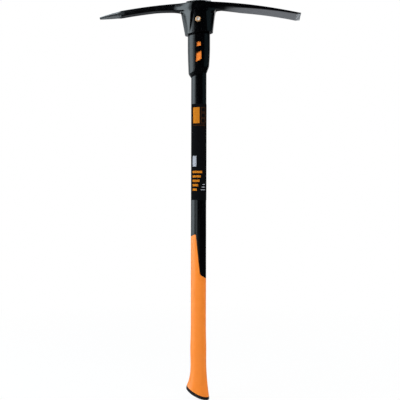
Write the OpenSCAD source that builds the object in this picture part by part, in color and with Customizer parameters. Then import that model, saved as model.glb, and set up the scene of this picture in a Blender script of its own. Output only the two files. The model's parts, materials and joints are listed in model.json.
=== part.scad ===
// Pick axe with a forged head, a moulded neck collar and an overmoulded hand grip.
// The handle runs along Z and the head along X, spike towards -X and blade towards +X.
// The origin is on the handle axis at the level where the two arms leave the eye.
// All sizes are in millimetres and all angles in degrees.

/* [Shaft] */
// Width of the oval shaft, along the head
shaft_w = 35; // [31:0.2:38]
// Depth of the oval shaft, front to back
shaft_d = 27; // [25:0.2:31]
// Wall of the outer composite shell
shaft_wall = 5; // [4.2:0.1:5.4]
// Thickness of the damping layer between shell and core
damping_t = 2; // [1.4:0.1:2.6]
// Depth of the grip joint on the axis, below the origin
shaft_drop = 872.3; // [800:0.1:950]
// Squareness of every oval section, 2 is an ellipse
oval_power = 2.3; // [2.1:0.1:2.6]

/* [Grip] */
// Wall of the overmoulded grip
grip_t = 2.6; // [2:0.1:3.2]
// Length of the grip on the tongue side, measured up from the butt joint
grip_tongue_len = 362.3; // [330:0.1:400]
// Length of the grip on the notch side, measured up from the butt joint
grip_notch_len = 270.3; // [240:0.1:300]
// Height of the palm swell above the butt joint
swell_h = 99; // [80:1:130]
// Growth of each side at the palm swell
swell_rise = 0.8; // [0.2:0.1:1.6]
// Growth of the spike side at the butt flare
flare_spike = 10.6; // [7:0.2:14]
// Growth of the blade side at the butt flare
flare_blade = 7.9; // [6:0.1:12]
// Growth of the front and the back at the butt flare
flare_depth = 5.5; // [3:0.2:8]
// Length of the butt flare
flare_len = 110; // [80:1:130]

/* [Butt] */
// Slant of the butt at the handle axis
butt_slant = 24.8; // [18:0.2:28]
// Crown radius of the butt joint
butt_crown_r = 111; // [95:1:160]
// Thickness of the butt cap
butt_cap_t = 7.2; // [4:0.1:9]
// Length of the butt cap's plug inside the shaft
butt_plug_len = 40; // [34:1:60]

/* [Shock sleeve] */
// Thickness of the shock sleeve at the narrow ends of the oval
sleeve_t = 3.2; // [2.8:0.1:4.4]
// Thickness of the shock sleeve on the front and on the back
sleeve_d_t = 3.2; // [2.6:0.1:4]
// Depth of the shock sleeve below the origin
sleeve_drop = 127; // [123:1:130]

/* [Neck collar] */
// Collar wall at the narrow ends of the oval
collar_wall_w = 4.6; // [3:0.1:6]
// Collar wall on the front and on the back
collar_wall_d = 2.3; // [1.8:0.1:3.2]
// Depth where the collar starts to taper, below the origin
collar_taper_drop = 90; // [80:1:100]
// Depth of the lower rim on the axis, below the origin
collar_rim_drop = 137; // [134:1:150]
// Inward taper of each side down to the lower rim
collar_taper = 2; // [0.5:0.1:2.4]
// Height of the chamfer under the lower rim on the axis
collar_chamfer_h = 11.5; // [8:0.5:16]
// Slant of the lower rim
collar_slant = 21; // [10:0.5:24]

/* [Windows] */
// Width of the upper window
window_top_w = 10.4; // [6:0.2:12]
// Height of the upper window
window_top_h = 10; // [8:0.2:12]
// Depth of the upper window's centre, below the origin
window_top_drop = 80.4; // [78:0.2:84]
// Width of the lower window
window_low_w = 13.2; // [8:0.2:14]
// Height of the lower window
window_low_h = 20; // [12:0.5:22]
// Depth of the lower window's centre, below the origin
window_low_drop = 108; // [106:0.5:110]
// Slant of the lower window's short sides
window_slant = 28; // [10:1:32]
// Offset of both windows towards the blade
window_x = 1.2; // [-1:0.1:2]

/* [Eye] */
// Top of the eye boss above the origin
eye_rise = 17.3; // [14:0.1:20]
// Depth of the lower rim on the axis, below the origin
eye_drop = 54; // [50:0.5:60]
// Slant of the lower rim
eye_slant = 6; // [0:0.5:10]
// Cheek wall at the lower rim
cheek_low = 5.4; // [4.2:0.2:8]
// Cheek wall at the top
cheek_top = 9; // [6:0.2:11]
// End wall at the lower rim
end_wall_low = 10.6; // [8:0.2:13]
// End wall below the spike
end_wall_spike = 19.5; // [16:0.5:22]
// End wall below the blade
end_wall_blade = 16; // [14:0.5:20]
// Step of the eye boss above the spike
spike_step = 1.4; // [0:0.1:3]
// Step of the eye boss above the blade
blade_step = 2.3; // [0.5:0.1:4]
// Fillet between the spike and the eye
spike_fillet = 5; // [3:0.5:10]
// Fillet between the blade and the eye
blade_fillet = 5; // [3:0.5:9]

/* [Spike] */
// Reach of the spike's tip from the handle axis
spike_reach = 228.5; // [200:0.5:270]
// Length of the ground point
point_len = 57.5; // [40:0.5:75]
// Height of the spike at the eye
spike_root_h = 22.2; // [19:0.2:25]
// Height of the spike where the point begins
spike_end_h = 14.8; // [11:0.1:17]
// Width of the spike at the eye
spike_root_w = 20; // [17:0.5:24]
// Width of the spike where the point begins
spike_end_w = 18; // [14:0.5:20]
// Drop of the spike's top from the eye to the point
spike_drop = 13.3; // [5:0.1:20]
// Drop of the point's top
point_drop = 13.4; // [10:0.1:17]
// Height of the blunt tip
tip_h = 5; // [3:0.2:7]
// Width of the blunt tip
tip_w = 9; // [4:0.5:12]

/* [Blade] */
// Reach of the blade's edge from the handle axis
blade_reach = 229.2; // [200:0.2:270]
// Thickness of the blade at the eye
blade_root_t = 15; // [11:0.2:17]
// Thickness of the blade where the bevel begins
blade_end_t = 4.6; // [3:0.2:7]
// Thickness left at the cutting edge
edge_t = 1.6; // [1:0.1:2.4]
// Width of the blade at the eye
blade_root_w = 41; // [36:0.5:46]
// Width of the cutting edge
blade_edge_w = 59; // [46:1:70]
// Length of the ground bevel
bevel_len = 9.4; // [8:0.2:20]
// Drop of the blade's top from the eye to the edge
blade_drop = 33.4; // [15:0.1:45]

/* [Top cap] */
// Height of the domed cap above the eye boss
cap_h = 3.4; // [2:0.2:12]
// Overlap of the cap over the sleeve all round
cap_lip = 2.4; // [1:0.2:4]
// Length of the cap's plug inside the shaft
cap_plug_len = 14; // [8:1:22]

/* [Head bolt] */
// Depth of the bolt axis below the origin
bolt_drop = 25.5; // [22:0.5:30]
// Shank diameter
bolt_d = 8; // [6:0.5:8]
// Head diameter of the bolt and the sleeve nut
bolt_head_d = 13; // [12.5:0.5:15]
// Head height of the bolt and the sleeve nut
bolt_head_h = 3.6; // [2.5:0.1:5]
// Width across the flats of the socket
socket_flats = 5; // [4:0.5:6]
// Depth of the socket
socket_depth = 2.2; // [1.5:0.1:2.4]
// Wall of the sleeve nut's barrel
nut_wall = 1; // [0.8:0.1:1.4]
// Length of the sleeve nut's barrel below its head
nut_len = 20; // [14:1:26]
// Wall of the compression bush
bush_wall = 1.6; // [1.2:0.1:2.2]
// Depth of the flat spot cut into each cheek under a head
spot_depth = 1.6; // [1:0.1:2]

/* [Label] */
// Depth of the label's upper end below the origin
label_drop = 215; // [180:1:260]
// Length of the label
label_len = 218; // [120:1:230]
// Thickness of the label film
label_t = 0.3; // [0.2:0.05:0.5]
// Open strip of the label on the spike side
label_gap = 12; // [6:0.5:16]

/* [Fit] */
// Play between pieces that slide together
play = 0.1; // [0.05:0.05:0.2]

/* [Hidden] */
$fn = 64;
sides = 48;
far = 400;
overrun = 30;
round_steps = 5;

shaft_a = shaft_w / 2;
shaft_b = shaft_d / 2;
bore_a = shaft_a - shaft_wall;
bore_b = shaft_b - shaft_wall;
core_a = bore_a - damping_t;
core_b = bore_b - damping_t;
tenon_a = shaft_a - grip_t;
tenon_b = shaft_b - grip_t;
sleeve_a = shaft_a + play + sleeve_t;
sleeve_b = shaft_b + play + sleeve_d_t;
hole_a = sleeve_a + play;
hole_b = sleeve_b + play;
collar_a = sleeve_a + play + collar_wall_w;
collar_b = sleeve_b + play + collar_wall_d;
hole_bolt = bolt_d + 4 * play;
barrel_d = bolt_d + 2 * play + 2 * nut_wall;
hole_barrel = barrel_d + 4 * play;
bush_d = hole_barrel + 2 * bush_wall;
hole_bush = bush_d + 2 * play;
spot_d = bolt_head_d + 16 * play;

core_top = eye_rise - cap_plug_len - play;
core_foot = butt_plug_len - shaft_drop + play;
butt_x = butt_crown_r * sin(butt_slant);
butt_z = butt_crown_r * cos(butt_slant) - shaft_drop;
sole_r = butt_crown_r + butt_cap_t;
tongue_z = grip_tongue_len - shaft_drop;
notch_z = grip_notch_len - shaft_drop;

// Ovals and lofts

function mix(a, b, f) = a + (b - a) * f;
function unit(f) = min(max(f, 0), 1);
function ease(f) = let (u = unit(f)) u * u * (3 - 2 * u);
function bent(s, straight) = straight * s + (1 - straight) * s * s;
function blend(a, b, k) = let (h = max(k - abs(a - b), 0)) max(a, b) + h * h / (4 * k);

function oval_r(a, b, t) =
    pow(pow(abs(cos(t)) / a, oval_power) + pow(abs(sin(t)) / b, oval_power), -1 / oval_power);

function oval(a, b) = [
    for (i = [0:sides - 1])
        let (t = 360 * (i + 0.5) / sides)
        oval_r(a, b, t) * [cos(t), sin(t)]
];

// Oval ring at height z whose height falls by slope for each millimetre towards the blade
function ring(a, b, z, slope = 0) = [for (p = oval(a, b)) [p.x, p.y, z - slope * p.x]];

// Solid through rings of equal length, given from the first end to the last
module loft(rings) {
    n = len(rings[0]);
    last = len(rings) - 1;
    polyhedron(
        points = [for (r = rings) each r],
        faces = concat(
            [[for (j = [0:n - 1]) j]],
            [for (i = [0:last - 1], j = [0:n - 1])
                let (k = (j + 1) % n)
                each [
                    [i * n + j, (i + 1) * n + j, (i + 1) * n + k],
                    [i * n + j, (i + 1) * n + k, i * n + k]
                ]],
            [[for (j = [n - 1:-1:0]) last * n + j]]
        )
    );
}

module prism(a, b, low, high) {
    translate([0, 0, low])
        linear_extrude(high - low)
            polygon(oval(a, b));
}

// Cross hole on the bolt axis between two depths
module cross(d, front, back) {
    translate([0, front, -bolt_drop])
        rotate([-90, 0, 0])
            cylinder(d = d, h = back - front);
}

// Front view outline carried through the whole depth
module through(points) {
    translate([0, far / 2, 0])
        rotate([90, 0, 0])
            linear_extrude(far)
                polygon(points);
}

// Everything above a crowned surface across the butt
module crown(r) {
    translate([butt_x, far / 2, butt_z])
        rotate([90, 0, 0])
            cylinder(r = r, h = far, $fn = 180);
    translate([butt_x - r, -far / 2, butt_z])
        cube([2 * r, far, shaft_drop]);
}

// Pick head

spike_in = hole_a + end_wall_spike;
blade_in = hole_a + end_wall_blade;
rim_reach = hole_a + end_wall_low;
point_x = spike_reach - point_len;
bevel_x = blade_reach - bevel_len;
eye_slope = tan(eye_slant);

// Growth of the cheek's reach towards the boss
boss_grow = 2;
// Set-back of the wings' fronts behind the cheek at the rim, and how fast it fades towards the top
wing_step = 4.2;
wing_fade = 2.9;
// Tilt of the wings' fronts towards the cheek, and the power of the cheek's oval
wing_tilt = 0.05;
cheek_power = 2.15;
// Set-back of the wings' ridges inside the hole's end at the rim and at the top, and at the arms' level
ridge_low = 0.9;
ridge_top = 5.4;
ridge_in = 9;
// Bow of the wings' flanks
flank_bow = 0.4;
// Half width of the flat spine down each end of the eye
spine_spike = 5;
spine_blade = 8;
// Flare of the flanks into the arms: its reach, its start below the origin and its run upwards
flare = 20;
flare_low = 12;
flare_run = 10;
// Level, run and share by which the flare fades towards the top
flare_mid = 2;
flare_up = 12;
flare_fade = 0.25;
// Rounded shoulder of the flanks at the arms' tops
shoulder_r = 4;
// Rounding of the upper edges, its growth over the boss, and that of the ridges and creases
edge_r = 1.6;
boss_r = 1.6;
ridge_r = 0.8;
crease_r = 0.4;
// Flat shoulder of the boss past the hole, and how fast it falls to the arms
boss_shoulder = 5.5;
boss_fall = 40;
boss_run = 24;
// Shares of straight run in the arms' bent tops
spike_straight = 0.3;
blade_straight = 0.4;
// How early the spike and the blade thin, how late the point thins and the blade widens
spike_thin = 1.6;
spike_thin_run = 0.55;
point_thin = 1.3;
thin_power = 0.75;
widen_power = 1.2;
// Ground point: its diamond's size round the bar, the share that its bevels take off, the level of its
// ridge as a share of its height, and the run in which the bevels deepen
point_grow = 1.3;
point_bevel = 0.75;
point_ridge = 0.62;
point_start = 0.32;
// Flat share of the arms' upper and lower faces, and the roundness of their sides
spike_top_flat = 0.85;
spike_flat = 0.5;
spike_round = 5.5;
blade_flat = 0.97;
blade_round = 8;
// Keel below the blade's root: its flat share, its roundness and its run out from the eye
blade_root_flat = 0.08;
blade_root_round = 1.8;
blade_root_run = 65;
// Slope of the ledge below the arms, and the share of the arm below the split level
ledge_slope = 1.2;
split_share = 0.3;

function rim_z(x) = -eye_drop + eye_slope * x;

function spike_top(d) =
    let (s = (d - hole_a) / (point_x - hole_a), top = eye_rise - spike_step)
    d < point_x
        ? top - spike_drop * bent(unit(s), spike_straight)
        : top - spike_drop - point_drop * (d - point_x) / point_len;

function spike_h(d) = d < point_x
    ? mix(spike_end_h, spike_root_h, pow(1 - unit((d - hole_a) / (point_x - hole_a) / spike_thin_run), spike_thin))
    : mix(spike_end_h, tip_h, pow((d - point_x) / point_len, point_thin));

function blade_top(d) =
    eye_rise - blade_step
    - blade_drop * bent(unit((d - hole_a) / (blade_reach - hole_a)), blade_straight);

function blade_t(d) = d < bevel_x
    ? mix(blade_root_t, blade_end_t, pow(unit((d - hole_a) / (bevel_x - hole_a)), thin_power))
    : mix(blade_end_t, edge_t, (d - bevel_x) / bevel_len);

function across(x) = ease((x + hole_a) / (2 * hole_a));
function arm_top(x) = mix(spike_top(-x), blade_top(x), across(x));
function arm_t(x) = mix(spike_h(-x), blade_t(x), across(x));
function under_z(x) = arm_top(x) - arm_t(x);
function top_z(x) =
    max(arm_top(x), eye_rise - boss_fall * ease((abs(x) - hole_a - boss_shoulder) / boss_run));
function edge(x) = min(edge_r + boss_r * ease((spike_in - abs(x)) / flare), arm_t(x) / 2);

// Height of the fillet and the sloping side of the eye, seen from the front
function side_z(x) =
    let (
        d = abs(x),
        in = x < 0 ? spike_in : blade_in,
        r = x < 0 ? spike_fillet : blade_fillet,
        low = rim_z(x < 0 ? -rim_reach : rim_reach)
    )
    d > in + r ? under_z(x)
    : d > in ? under_z(x) - r + sqrt(r * r - pow(in + r - d, 2))
    : mix(low, under_z(x) - r, (d - rim_reach) / (in - rim_reach));

function low_z(x) = max(side_z(x), rim_z(x));

// Reach of the eye's end wall at height z
function end_reach(x, z) =
    let (low = rim_z(x < 0 ? -rim_reach : rim_reach))
    mix(rim_reach, x < 0 ? spike_in : blade_in, unit((z - low) / (-low - spike_fillet / 2)));

function eye_part(z) = unit((z + eye_drop) / (eye_rise + eye_drop));

function cheek_y(x, z) =
    let (f = eye_part(z), a = rim_reach + boss_grow * f)
    abs(x) < a
        ? (hole_b + mix(cheek_low, cheek_top, f)) * pow(1 - pow(abs(x) / a, cheek_power), 1 / cheek_power)
        : 0;

// Wing with a flat front, a ridge and a flank that flares out of the arm's own side
function wing_y(x, z, arm) =
    let (
        f = eye_part(z),
        join = ease((z + flare_low) / flare_run),
        over = unit((z - arm_top(x)) / shoulder_r + 1),
        reach = end_reach(x, z) + flare * join * (1 - flare_fade * ease((z - flare_mid) / flare_up)),
        ridge = hole_a - mix(ridge_low, ridge_top, f) - ridge_in * join,
        run = min(max((reach - abs(x)) / (reach - ridge), 0), 1.5),
        front = hole_b + mix(cheek_low, cheek_top, f) - wing_step * exp(-wing_fade * f) - wing_tilt * (ridge - abs(x)),
        spine = x < 0 ? spine_spike : spine_blade,
        start = mix(spine, max(arm, spine), join),
        rise = mix(run * (1 + flank_bow * (1 - run)), ease(run), join) * mix(1, sqrt(1 - over * over), join)
    )
    -blend(-mix(start, front, rise), -front, ridge_r);

function arm_w(x) = x < -point_x
    ? mix(spike_end_w, tip_w, (-x - point_x) / point_len)
    : x < 0
        ? mix(spike_root_w, spike_end_w, -x / point_x)
        : mix(mix(spike_root_w, blade_root_w, ease(x / hole_a)), blade_edge_w,
            pow(unit((x - hole_a) / (blade_reach - hole_a)), widen_power));

// Half depth of the ground point: a diamond round the bar, with bevels that deepen from its start
function ground_y(x, z) =
    let (
        part = unit((z - arm_top(x)) / arm_t(x) + 1),
        off = max(1 - part / point_ridge, (part - point_ridge) / (1 - point_ridge)),
        deep = point_bevel * ease((-x - point_x) / point_len / point_start)
    )
    arm_w(x) / 2 * point_grow * (1 - deep * off);

// Half depth of an arm; past the point's start the bar runs on as it was before it was ground
function arm_y(x, z) =
    let (
        past = x < -point_x,
        s = max((-x - hole_a) / (point_x - hole_a), 0),
        thick = past ? spike_end_h : arm_t(x),
        under = (past ? eye_rise - spike_step - spike_drop * bent(s, spike_straight) : arm_top(x)) - thick,
        part = unit((z - under) / thick),
        side = ease(x / hole_a),
        out = part < 0.5 ? ease((x - blade_in) / blade_root_run) : 1,
        flat = mix(part < 0.5 ? spike_flat : spike_top_flat, mix(blade_root_flat, blade_flat, out), side),
        power = mix(spike_round, mix(blade_root_round, blade_round, out), side),
        half = arm_w(x) / 2,
        bar = z < under
            ? half * flat - ledge_slope * (under - z)
            : half * (1 - (1 - flat) * pow(abs(2 * part - 1), power))
    )
    past ? min(bar, ground_y(x, z)) : bar;

// Half depth of the head at one point of its front view
function head_y(x, z) =
    let (
        arm = arm_y(x, z),
        y = abs(x) < spike_in + flare ? max(arm, blend(cheek_y(x, z), wing_y(x, z, arm), crease_r)) : arm,
        r = edge(x),
        near = unit(1 - (top_z(x) - z) / r)
    )
    y - min(r, y / 3) * (1 - sqrt(1 - near * near));

low_steps = 7;
high_steps = 6;

function head_levels(x) =
    let (low = low_z(x), split = under_z(x) + split_share * arm_t(x), top = top_z(x))
    concat(
        [for (i = [0:low_steps - 1]) mix(low, split, i / low_steps)],
        [for (i = [0:high_steps - 1]) mix(split, top - edge(x) / 2, i / (high_steps - 1))],
        [top]
    );

function head_ring(x) =
    let (z = head_levels(x), last = len(z) - 1)
    concat(
        [for (i = [0:last]) [x, head_y(x, z[i]), z[i]]],
        [for (i = [last:-1:0]) [x, -head_y(x, z[i]), z[i]]]
    );

function span(from, to, steps) = [for (i = [0:steps - 1]) mix(from, to, i / steps)];

head_stations = concat(
    span(-spike_reach, -point_x, 6),
    span(-point_x, -spike_in - flare, 7),
    span(-spike_in - flare, -spike_in - spike_fillet, 3),
    span(-spike_in - spike_fillet, -spike_in, round_steps),
    span(-spike_in, -rim_reach, round_steps),
    span(-rim_reach, rim_reach, 22),
    span(rim_reach, blade_in, round_steps),
    span(blade_in, blade_in + blade_fillet, round_steps),
    span(blade_in + blade_fillet, bevel_x, 11),
    span(bevel_x, blade_reach, 2),
    [blade_reach]
);

seat_y = hole_b + mix(cheek_low, cheek_top, eye_part(-bolt_drop)) - spot_depth;

// Forged steel head with the eye for the handle and the cross holes for the bolt
module pick_head() {
    color([0.09, 0.09, 0.1])
        difference() {
            loft([for (x = head_stations) head_ring(x)]);
            prism(hole_a, hole_b, -eye_drop - overrun, eye_rise + overrun);
            cross(hole_bolt, -far, 0);
            cross(hole_barrel, 0, far);
            cross(spot_d, -far, -seat_y);
            cross(spot_d, seat_y, far);
        }
}

// Pieces in the eye

// Soft sleeve between the shaft and the steel head
module shock_sleeve() {
    color([0.95, 0.5, 0.15])
        difference() {
            prism(sleeve_a, sleeve_b, -sleeve_drop, eye_rise);
            prism(shaft_a + play, shaft_b + play, -sleeve_drop - overrun, eye_rise + overrun);
            cross(hole_bush, -far, far);
        }
}

// Straight skirt of the cap as a share of its height, and the roundness of its dome
cap_skirt = 0.22;
dome_round = 0.42;
dome_steps = 6;
dome_stop = 86;

function cap_ring(f, z) = ring(f * (sleeve_a + cap_lip), f * (sleeve_b + cap_lip), eye_rise + z * cap_h);

function dome_rings() = [
    cap_ring(1, 0),
    for (i = [0:dome_steps])
        let (t = dome_stop * i / dome_steps)
        cap_ring(pow(cos(t), dome_round), mix(cap_skirt, 1, sin(t)))
];

// Domed cap over the end of the handle, plugged into the shaft
module top_cap() {
    color([0.12, 0.12, 0.12])
        union() {
            loft(dome_rings());
            prism(bore_a - play, bore_b - play, eye_rise - cap_plug_len, eye_rise + cap_skirt * cap_h);
        }
}

// Height and width of the button head's shoulder as shares of the head
shoulder_h = 0.4;
shoulder_d = 0.74;
// Overlap that ties a shank to its head, and the shank's stop before the nut's head
shank_root = 0.7;
shank_stop = 2;

// Button head with a hex socket, facing the front
module button() {
    translate([0, -seat_y, -bolt_drop])
        rotate([90, 0, 0])
            difference() {
                union() {
                    cylinder(d = bolt_head_d, h = shoulder_h * bolt_head_h);
                    translate([0, 0, shoulder_h * bolt_head_h])
                        cylinder(
                            d1 = bolt_head_d,
                            d2 = shoulder_d * bolt_head_d,
                            h = (1 - shoulder_h) * bolt_head_h
                        );
                }
                translate([0, 0, bolt_head_h - socket_depth])
                    cylinder(d = socket_flats / cos(30), h = overrun, $fn = 6);
            }
}

// Cross bolt whose shank ends inside the sleeve nut
module head_bolt() {
    color([0.8, 0.66, 0.35])
        union() {
            button();
            cross(bolt_d, -seat_y - shank_root, seat_y - shank_stop);
        }
}

// Sleeve nut that takes the bolt from the back
module sleeve_nut() {
    color([0.8, 0.66, 0.35])
        difference() {
            union() {
                mirror([0, 1, 0])
                    button();
                cross(barrel_d, seat_y - nut_len, seat_y + shank_root);
            }
            cross(bolt_d + 2 * play, -far, seat_y - shank_stop / 2);
        }
}

// Compression bush between the two cheeks
module bolt_bush() {
    color([0.6, 0.6, 0.62])
        difference() {
            cross(bush_d, -sleeve_b, sleeve_b);
            cross(hole_barrel, -far, far);
        }
}

// Neck collar

collar_slope = -tan(collar_slant);
// Lip left where the chamfer meets the shaft, and the share of the slant kept there
foot_lip = 0.6;
foot_share = 0.8;
// Chamfer at the collar's upper end
neck_chamfer = 1.2;
// Share of the taper and of the slant reached half way down the taper
taper_share = 0.4;
// Width of a window's upper end as a share of its lower end, and the upper window's slope
window_narrow = 0.86;
window_slope = 0.15;

function collar_rings() = [
    ring(shaft_a + foot_lip, shaft_b + foot_lip, -collar_rim_drop - collar_chamfer_h, foot_share * collar_slope),
    ring(collar_a - collar_taper, collar_b - collar_taper / 2, -collar_rim_drop, collar_slope),
    ring(collar_a - taper_share * collar_taper, collar_b - taper_share * collar_taper / 2,
        -(collar_taper_drop + collar_rim_drop) / 2, taper_share * collar_slope),
    ring(collar_a, collar_b, -collar_taper_drop, 0),
    ring(collar_a, collar_b, -eye_drop - 4 * neck_chamfer, -eye_slope),
    ring(collar_a - neck_chamfer, collar_b - neck_chamfer, -eye_drop - play, -eye_slope)
];

// Slanted four sided window outline, narrower at its upper end
function window(w, h, drop, slope) = [
    [window_x - window_narrow * w / 2, -drop + h / 2 - slope * w / 2],
    [window_x + window_narrow * w / 2, -drop + h / 2 + slope * w / 2],
    [window_x + w / 2, -drop - h / 2 + slope * w / 2],
    [window_x - w / 2, -drop - h / 2 - slope * w / 2]
];

// Moulded collar below the eye, with two windows to the sleeve in front and two at the back
module neck_collar() {
    color([0.1, 0.1, 0.1])
        difference() {
            loft(collar_rings());
            prism(sleeve_a + play, sleeve_b + play, -sleeve_drop - play, overrun);
            prism(shaft_a + play, shaft_b + play, -far, overrun);
            through(window(window_top_w, window_top_h, window_top_drop, window_slope));
            through(window(window_low_w, window_low_h, window_low_drop, tan(window_slant)));
        }
}

// Shaft

// Places of the tongue's tip and the notch's corner across the shaft, as shares of its half width
tongue_x = -0.3 * shaft_a;
notch_x = 0.25 * shaft_a;
tongue_rise = 0.5;
notch_fall = 0.69;
tongue_r = 2.5;
notch_r = 9;

// Front view of everything above the grip's upper edge, grown downwards by the given gap
module above_grip(gap) {
    translate([0, far / 2, 0])
        rotate([90, 0, 0])
            linear_extrude(far)
                offset(delta = gap)
                    offset(r = notch_r)
                        offset(r = -notch_r - tongue_r)
                            offset(r = tongue_r)
                                polygon([
                                    [-far, 0],
                                    [-far, tongue_z - tongue_rise * (far + tongue_x)],
                                    [tongue_x, tongue_z],
                                    [notch_x, notch_z],
                                    [far, notch_z - notch_fall * (far - notch_x)],
                                    [far, 0]
                                ]);
}

// Composite outer shell, full size above the grip and stepped down inside it
module shaft() {
    color([0.1, 0.1, 0.11])
        difference() {
            union() {
                intersection() {
                    prism(shaft_a, shaft_b, notch_z - overrun, eye_rise);
                    above_grip(0);
                }
                intersection() {
                    prism(tenon_a, tenon_b, -shaft_drop - overrun, eye_rise);
                    crown(butt_crown_r);
                }
            }
            prism(bore_a, bore_b, -shaft_drop - 2 * overrun, eye_rise + overrun);
            cross(hole_bush, -far, far);
        }
}

// Elastomer layer between the shell and the core
module damping_layer() {
    color([0.85, 0.45, 0.15])
        difference() {
            prism(bore_a - play, bore_b - play, core_foot, core_top);
            prism(core_a, core_b, core_foot - overrun, core_top + overrun);
            cross(hole_bush, -far, far);
        }
}

// Inner rod of the handle
module core_rod() {
    color([0.75, 0.73, 0.62])
        difference() {
            prism(core_a - play, core_b - play, core_foot, core_top);
            cross(hole_bush, -far, far);
        }
}

// Grip and butt

// How sharply the flare turns out, and how much sooner it ends on the spike side
flare_power = 2.6;
flare_early = 1.62;
// Half length of the palm swell, and the depth and the run-in of the waist above it
swell_half = 26;
waist = 0.2;
waist_run = 60;
// Height above the butt where the rings turn level, and their start below the joint
level_h = 100;
below_joint = -14;

function flare(s) = pow(unit(1 - s / flare_len), flare_power);
function swell(s) =
    swell_rise * exp(-pow((s - swell_h) / swell_half, 2))
    - waist * ease((s - swell_h) / waist_run) * ease((grip_notch_len - s) / waist_run);

// Half width at a height above the butt joint, towards the spike or the blade
function grip_a(s, spike) =
    shaft_a + swell(s) + (spike ? flare_spike * flare(flare_early * s) : flare_blade * flare(s));

function grip_ring(s) =
    let (slope = tan(butt_slant) * unit(1 - s / level_h), b = shaft_b + swell(s) + flare_depth * flare(s))
    [for (i = [0:sides - 1])
        let (
            t = 360 * (i + 0.5) / sides,
            r = oval_r(grip_a(s, cos(t) < 0), b, t)
        )
        [r * cos(t), r * sin(t), s - shaft_drop - slope * r * cos(t)]];

grip_stations = concat(
    span(below_joint, 0, 2),
    span(0, flare_len, 8),
    span(flare_len, swell_h + 2 * swell_half, 6),
    span(swell_h + 2 * swell_half, grip_notch_len, 4),
    [grip_notch_len, grip_tongue_len + overrun]
);

module grip_body() {
    loft([for (s = grip_stations) grip_ring(s)]);
}

// Overmoulded hand grip with a tongue up the spike side
module grip() {
    color([0.95, 0.5, 0.17])
        difference() {
            intersection() {
                grip_body();
                crown(butt_crown_r);
            }
            prism(tenon_a + play, tenon_b + play, -shaft_drop - 2 * overrun, 0);
            above_grip(play);
        }
}

// Crowned end cap under the grip, plugged into the shaft
module butt_cap() {
    color([0.12, 0.12, 0.12])
        union() {
            difference() {
                intersection() {
                    grip_body();
                    crown(sole_r);
                }
                crown(butt_crown_r + play);
            }
            intersection() {
                prism(bore_a - play, bore_b - play, -shaft_drop - overrun, butt_plug_len - shaft_drop);
                crown(butt_crown_r + butt_cap_t / 2);
            }
        }
}

// Label

// Thin film wrapped round the shaft, open along the spike side
module label_film() {
    color([0.2, 0.2, 0.2])
        difference() {
            prism(shaft_a + play / 2 + label_t, shaft_b + play / 2 + label_t, -label_drop - label_len, -label_drop);
            prism(shaft_a + play / 2, shaft_b + play / 2, -label_drop - label_len - overrun, 0);
            translate([-far, -label_gap / 2, -label_drop - label_len - overrun])
                cube([far, label_gap, label_len + 2 * overrun]);
        }
}

// Piece to draw

pick_head();
shock_sleeve();
top_cap();
head_bolt();
sleeve_nut();
bolt_bush();
neck_collar();
shaft();
damping_layer();
core_rod();
grip();
butt_cap();
label_film();
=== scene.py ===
"""Pick axe dressed for its studio view: forged head, neck, shell, soft grip and butt.

Sizes are in millimetres in the CAD's frame: the handle runs along Z and the head along X, with the
spike towards -X, the blade towards +X and the front towards -Y. Meshes are in metres.
"""

import json
import logging
import math
from dataclasses import dataclass, field
from enum import Enum
from typing import Any, Callable, Sequence

import bpy
import numpy as np
from mathutils import Matrix, Vector

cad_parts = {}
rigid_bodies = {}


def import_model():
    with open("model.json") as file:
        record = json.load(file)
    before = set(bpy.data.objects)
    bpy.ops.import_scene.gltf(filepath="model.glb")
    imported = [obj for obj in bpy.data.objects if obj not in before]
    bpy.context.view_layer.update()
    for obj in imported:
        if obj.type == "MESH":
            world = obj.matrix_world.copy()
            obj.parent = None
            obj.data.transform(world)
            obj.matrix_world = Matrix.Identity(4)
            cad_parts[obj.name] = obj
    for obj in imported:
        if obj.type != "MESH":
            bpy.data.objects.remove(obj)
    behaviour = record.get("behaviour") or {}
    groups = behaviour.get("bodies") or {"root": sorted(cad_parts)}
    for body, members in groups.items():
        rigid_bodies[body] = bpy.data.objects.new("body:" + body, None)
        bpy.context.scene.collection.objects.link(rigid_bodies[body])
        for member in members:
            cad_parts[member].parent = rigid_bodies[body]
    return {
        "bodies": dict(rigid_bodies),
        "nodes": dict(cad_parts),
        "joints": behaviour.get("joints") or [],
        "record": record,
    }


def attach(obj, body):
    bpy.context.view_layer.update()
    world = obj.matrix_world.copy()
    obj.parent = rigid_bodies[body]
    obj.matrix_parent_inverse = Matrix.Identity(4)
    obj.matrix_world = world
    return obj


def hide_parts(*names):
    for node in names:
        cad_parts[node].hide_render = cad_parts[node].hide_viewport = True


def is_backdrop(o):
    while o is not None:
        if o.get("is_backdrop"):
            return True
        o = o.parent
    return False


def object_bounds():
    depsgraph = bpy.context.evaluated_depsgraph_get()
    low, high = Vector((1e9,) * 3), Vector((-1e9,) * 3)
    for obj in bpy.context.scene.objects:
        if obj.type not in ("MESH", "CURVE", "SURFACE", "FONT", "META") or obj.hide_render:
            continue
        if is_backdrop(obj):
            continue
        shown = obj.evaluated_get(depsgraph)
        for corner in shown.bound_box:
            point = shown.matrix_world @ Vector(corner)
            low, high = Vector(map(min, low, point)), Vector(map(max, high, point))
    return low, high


LOG = logging.getLogger("pick_axe")
Array = np.ndarray
Piece = bpy.types.Object
Material = bpy.types.Material
Tree = bpy.types.NodeTree
Socket = bpy.types.NodeSocket
Inputs = dict[str | int, Any] | Sequence[Any]
Height = Callable[[Array], Array]
MM = 0.001
COLUMNS = 192  # points round a section
BUNCHING = 0.25  # how far a section's points are drawn to its broad faces
CORNER_SHARE = 0.45  # most of a side that a rounded corner takes
CUT_REACH = 60.0  # half length of the cores and drills that cut through a piece
HOLE_BAND = (-5.0, -48.0)  # levels of rings above and below the bush's hole
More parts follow.
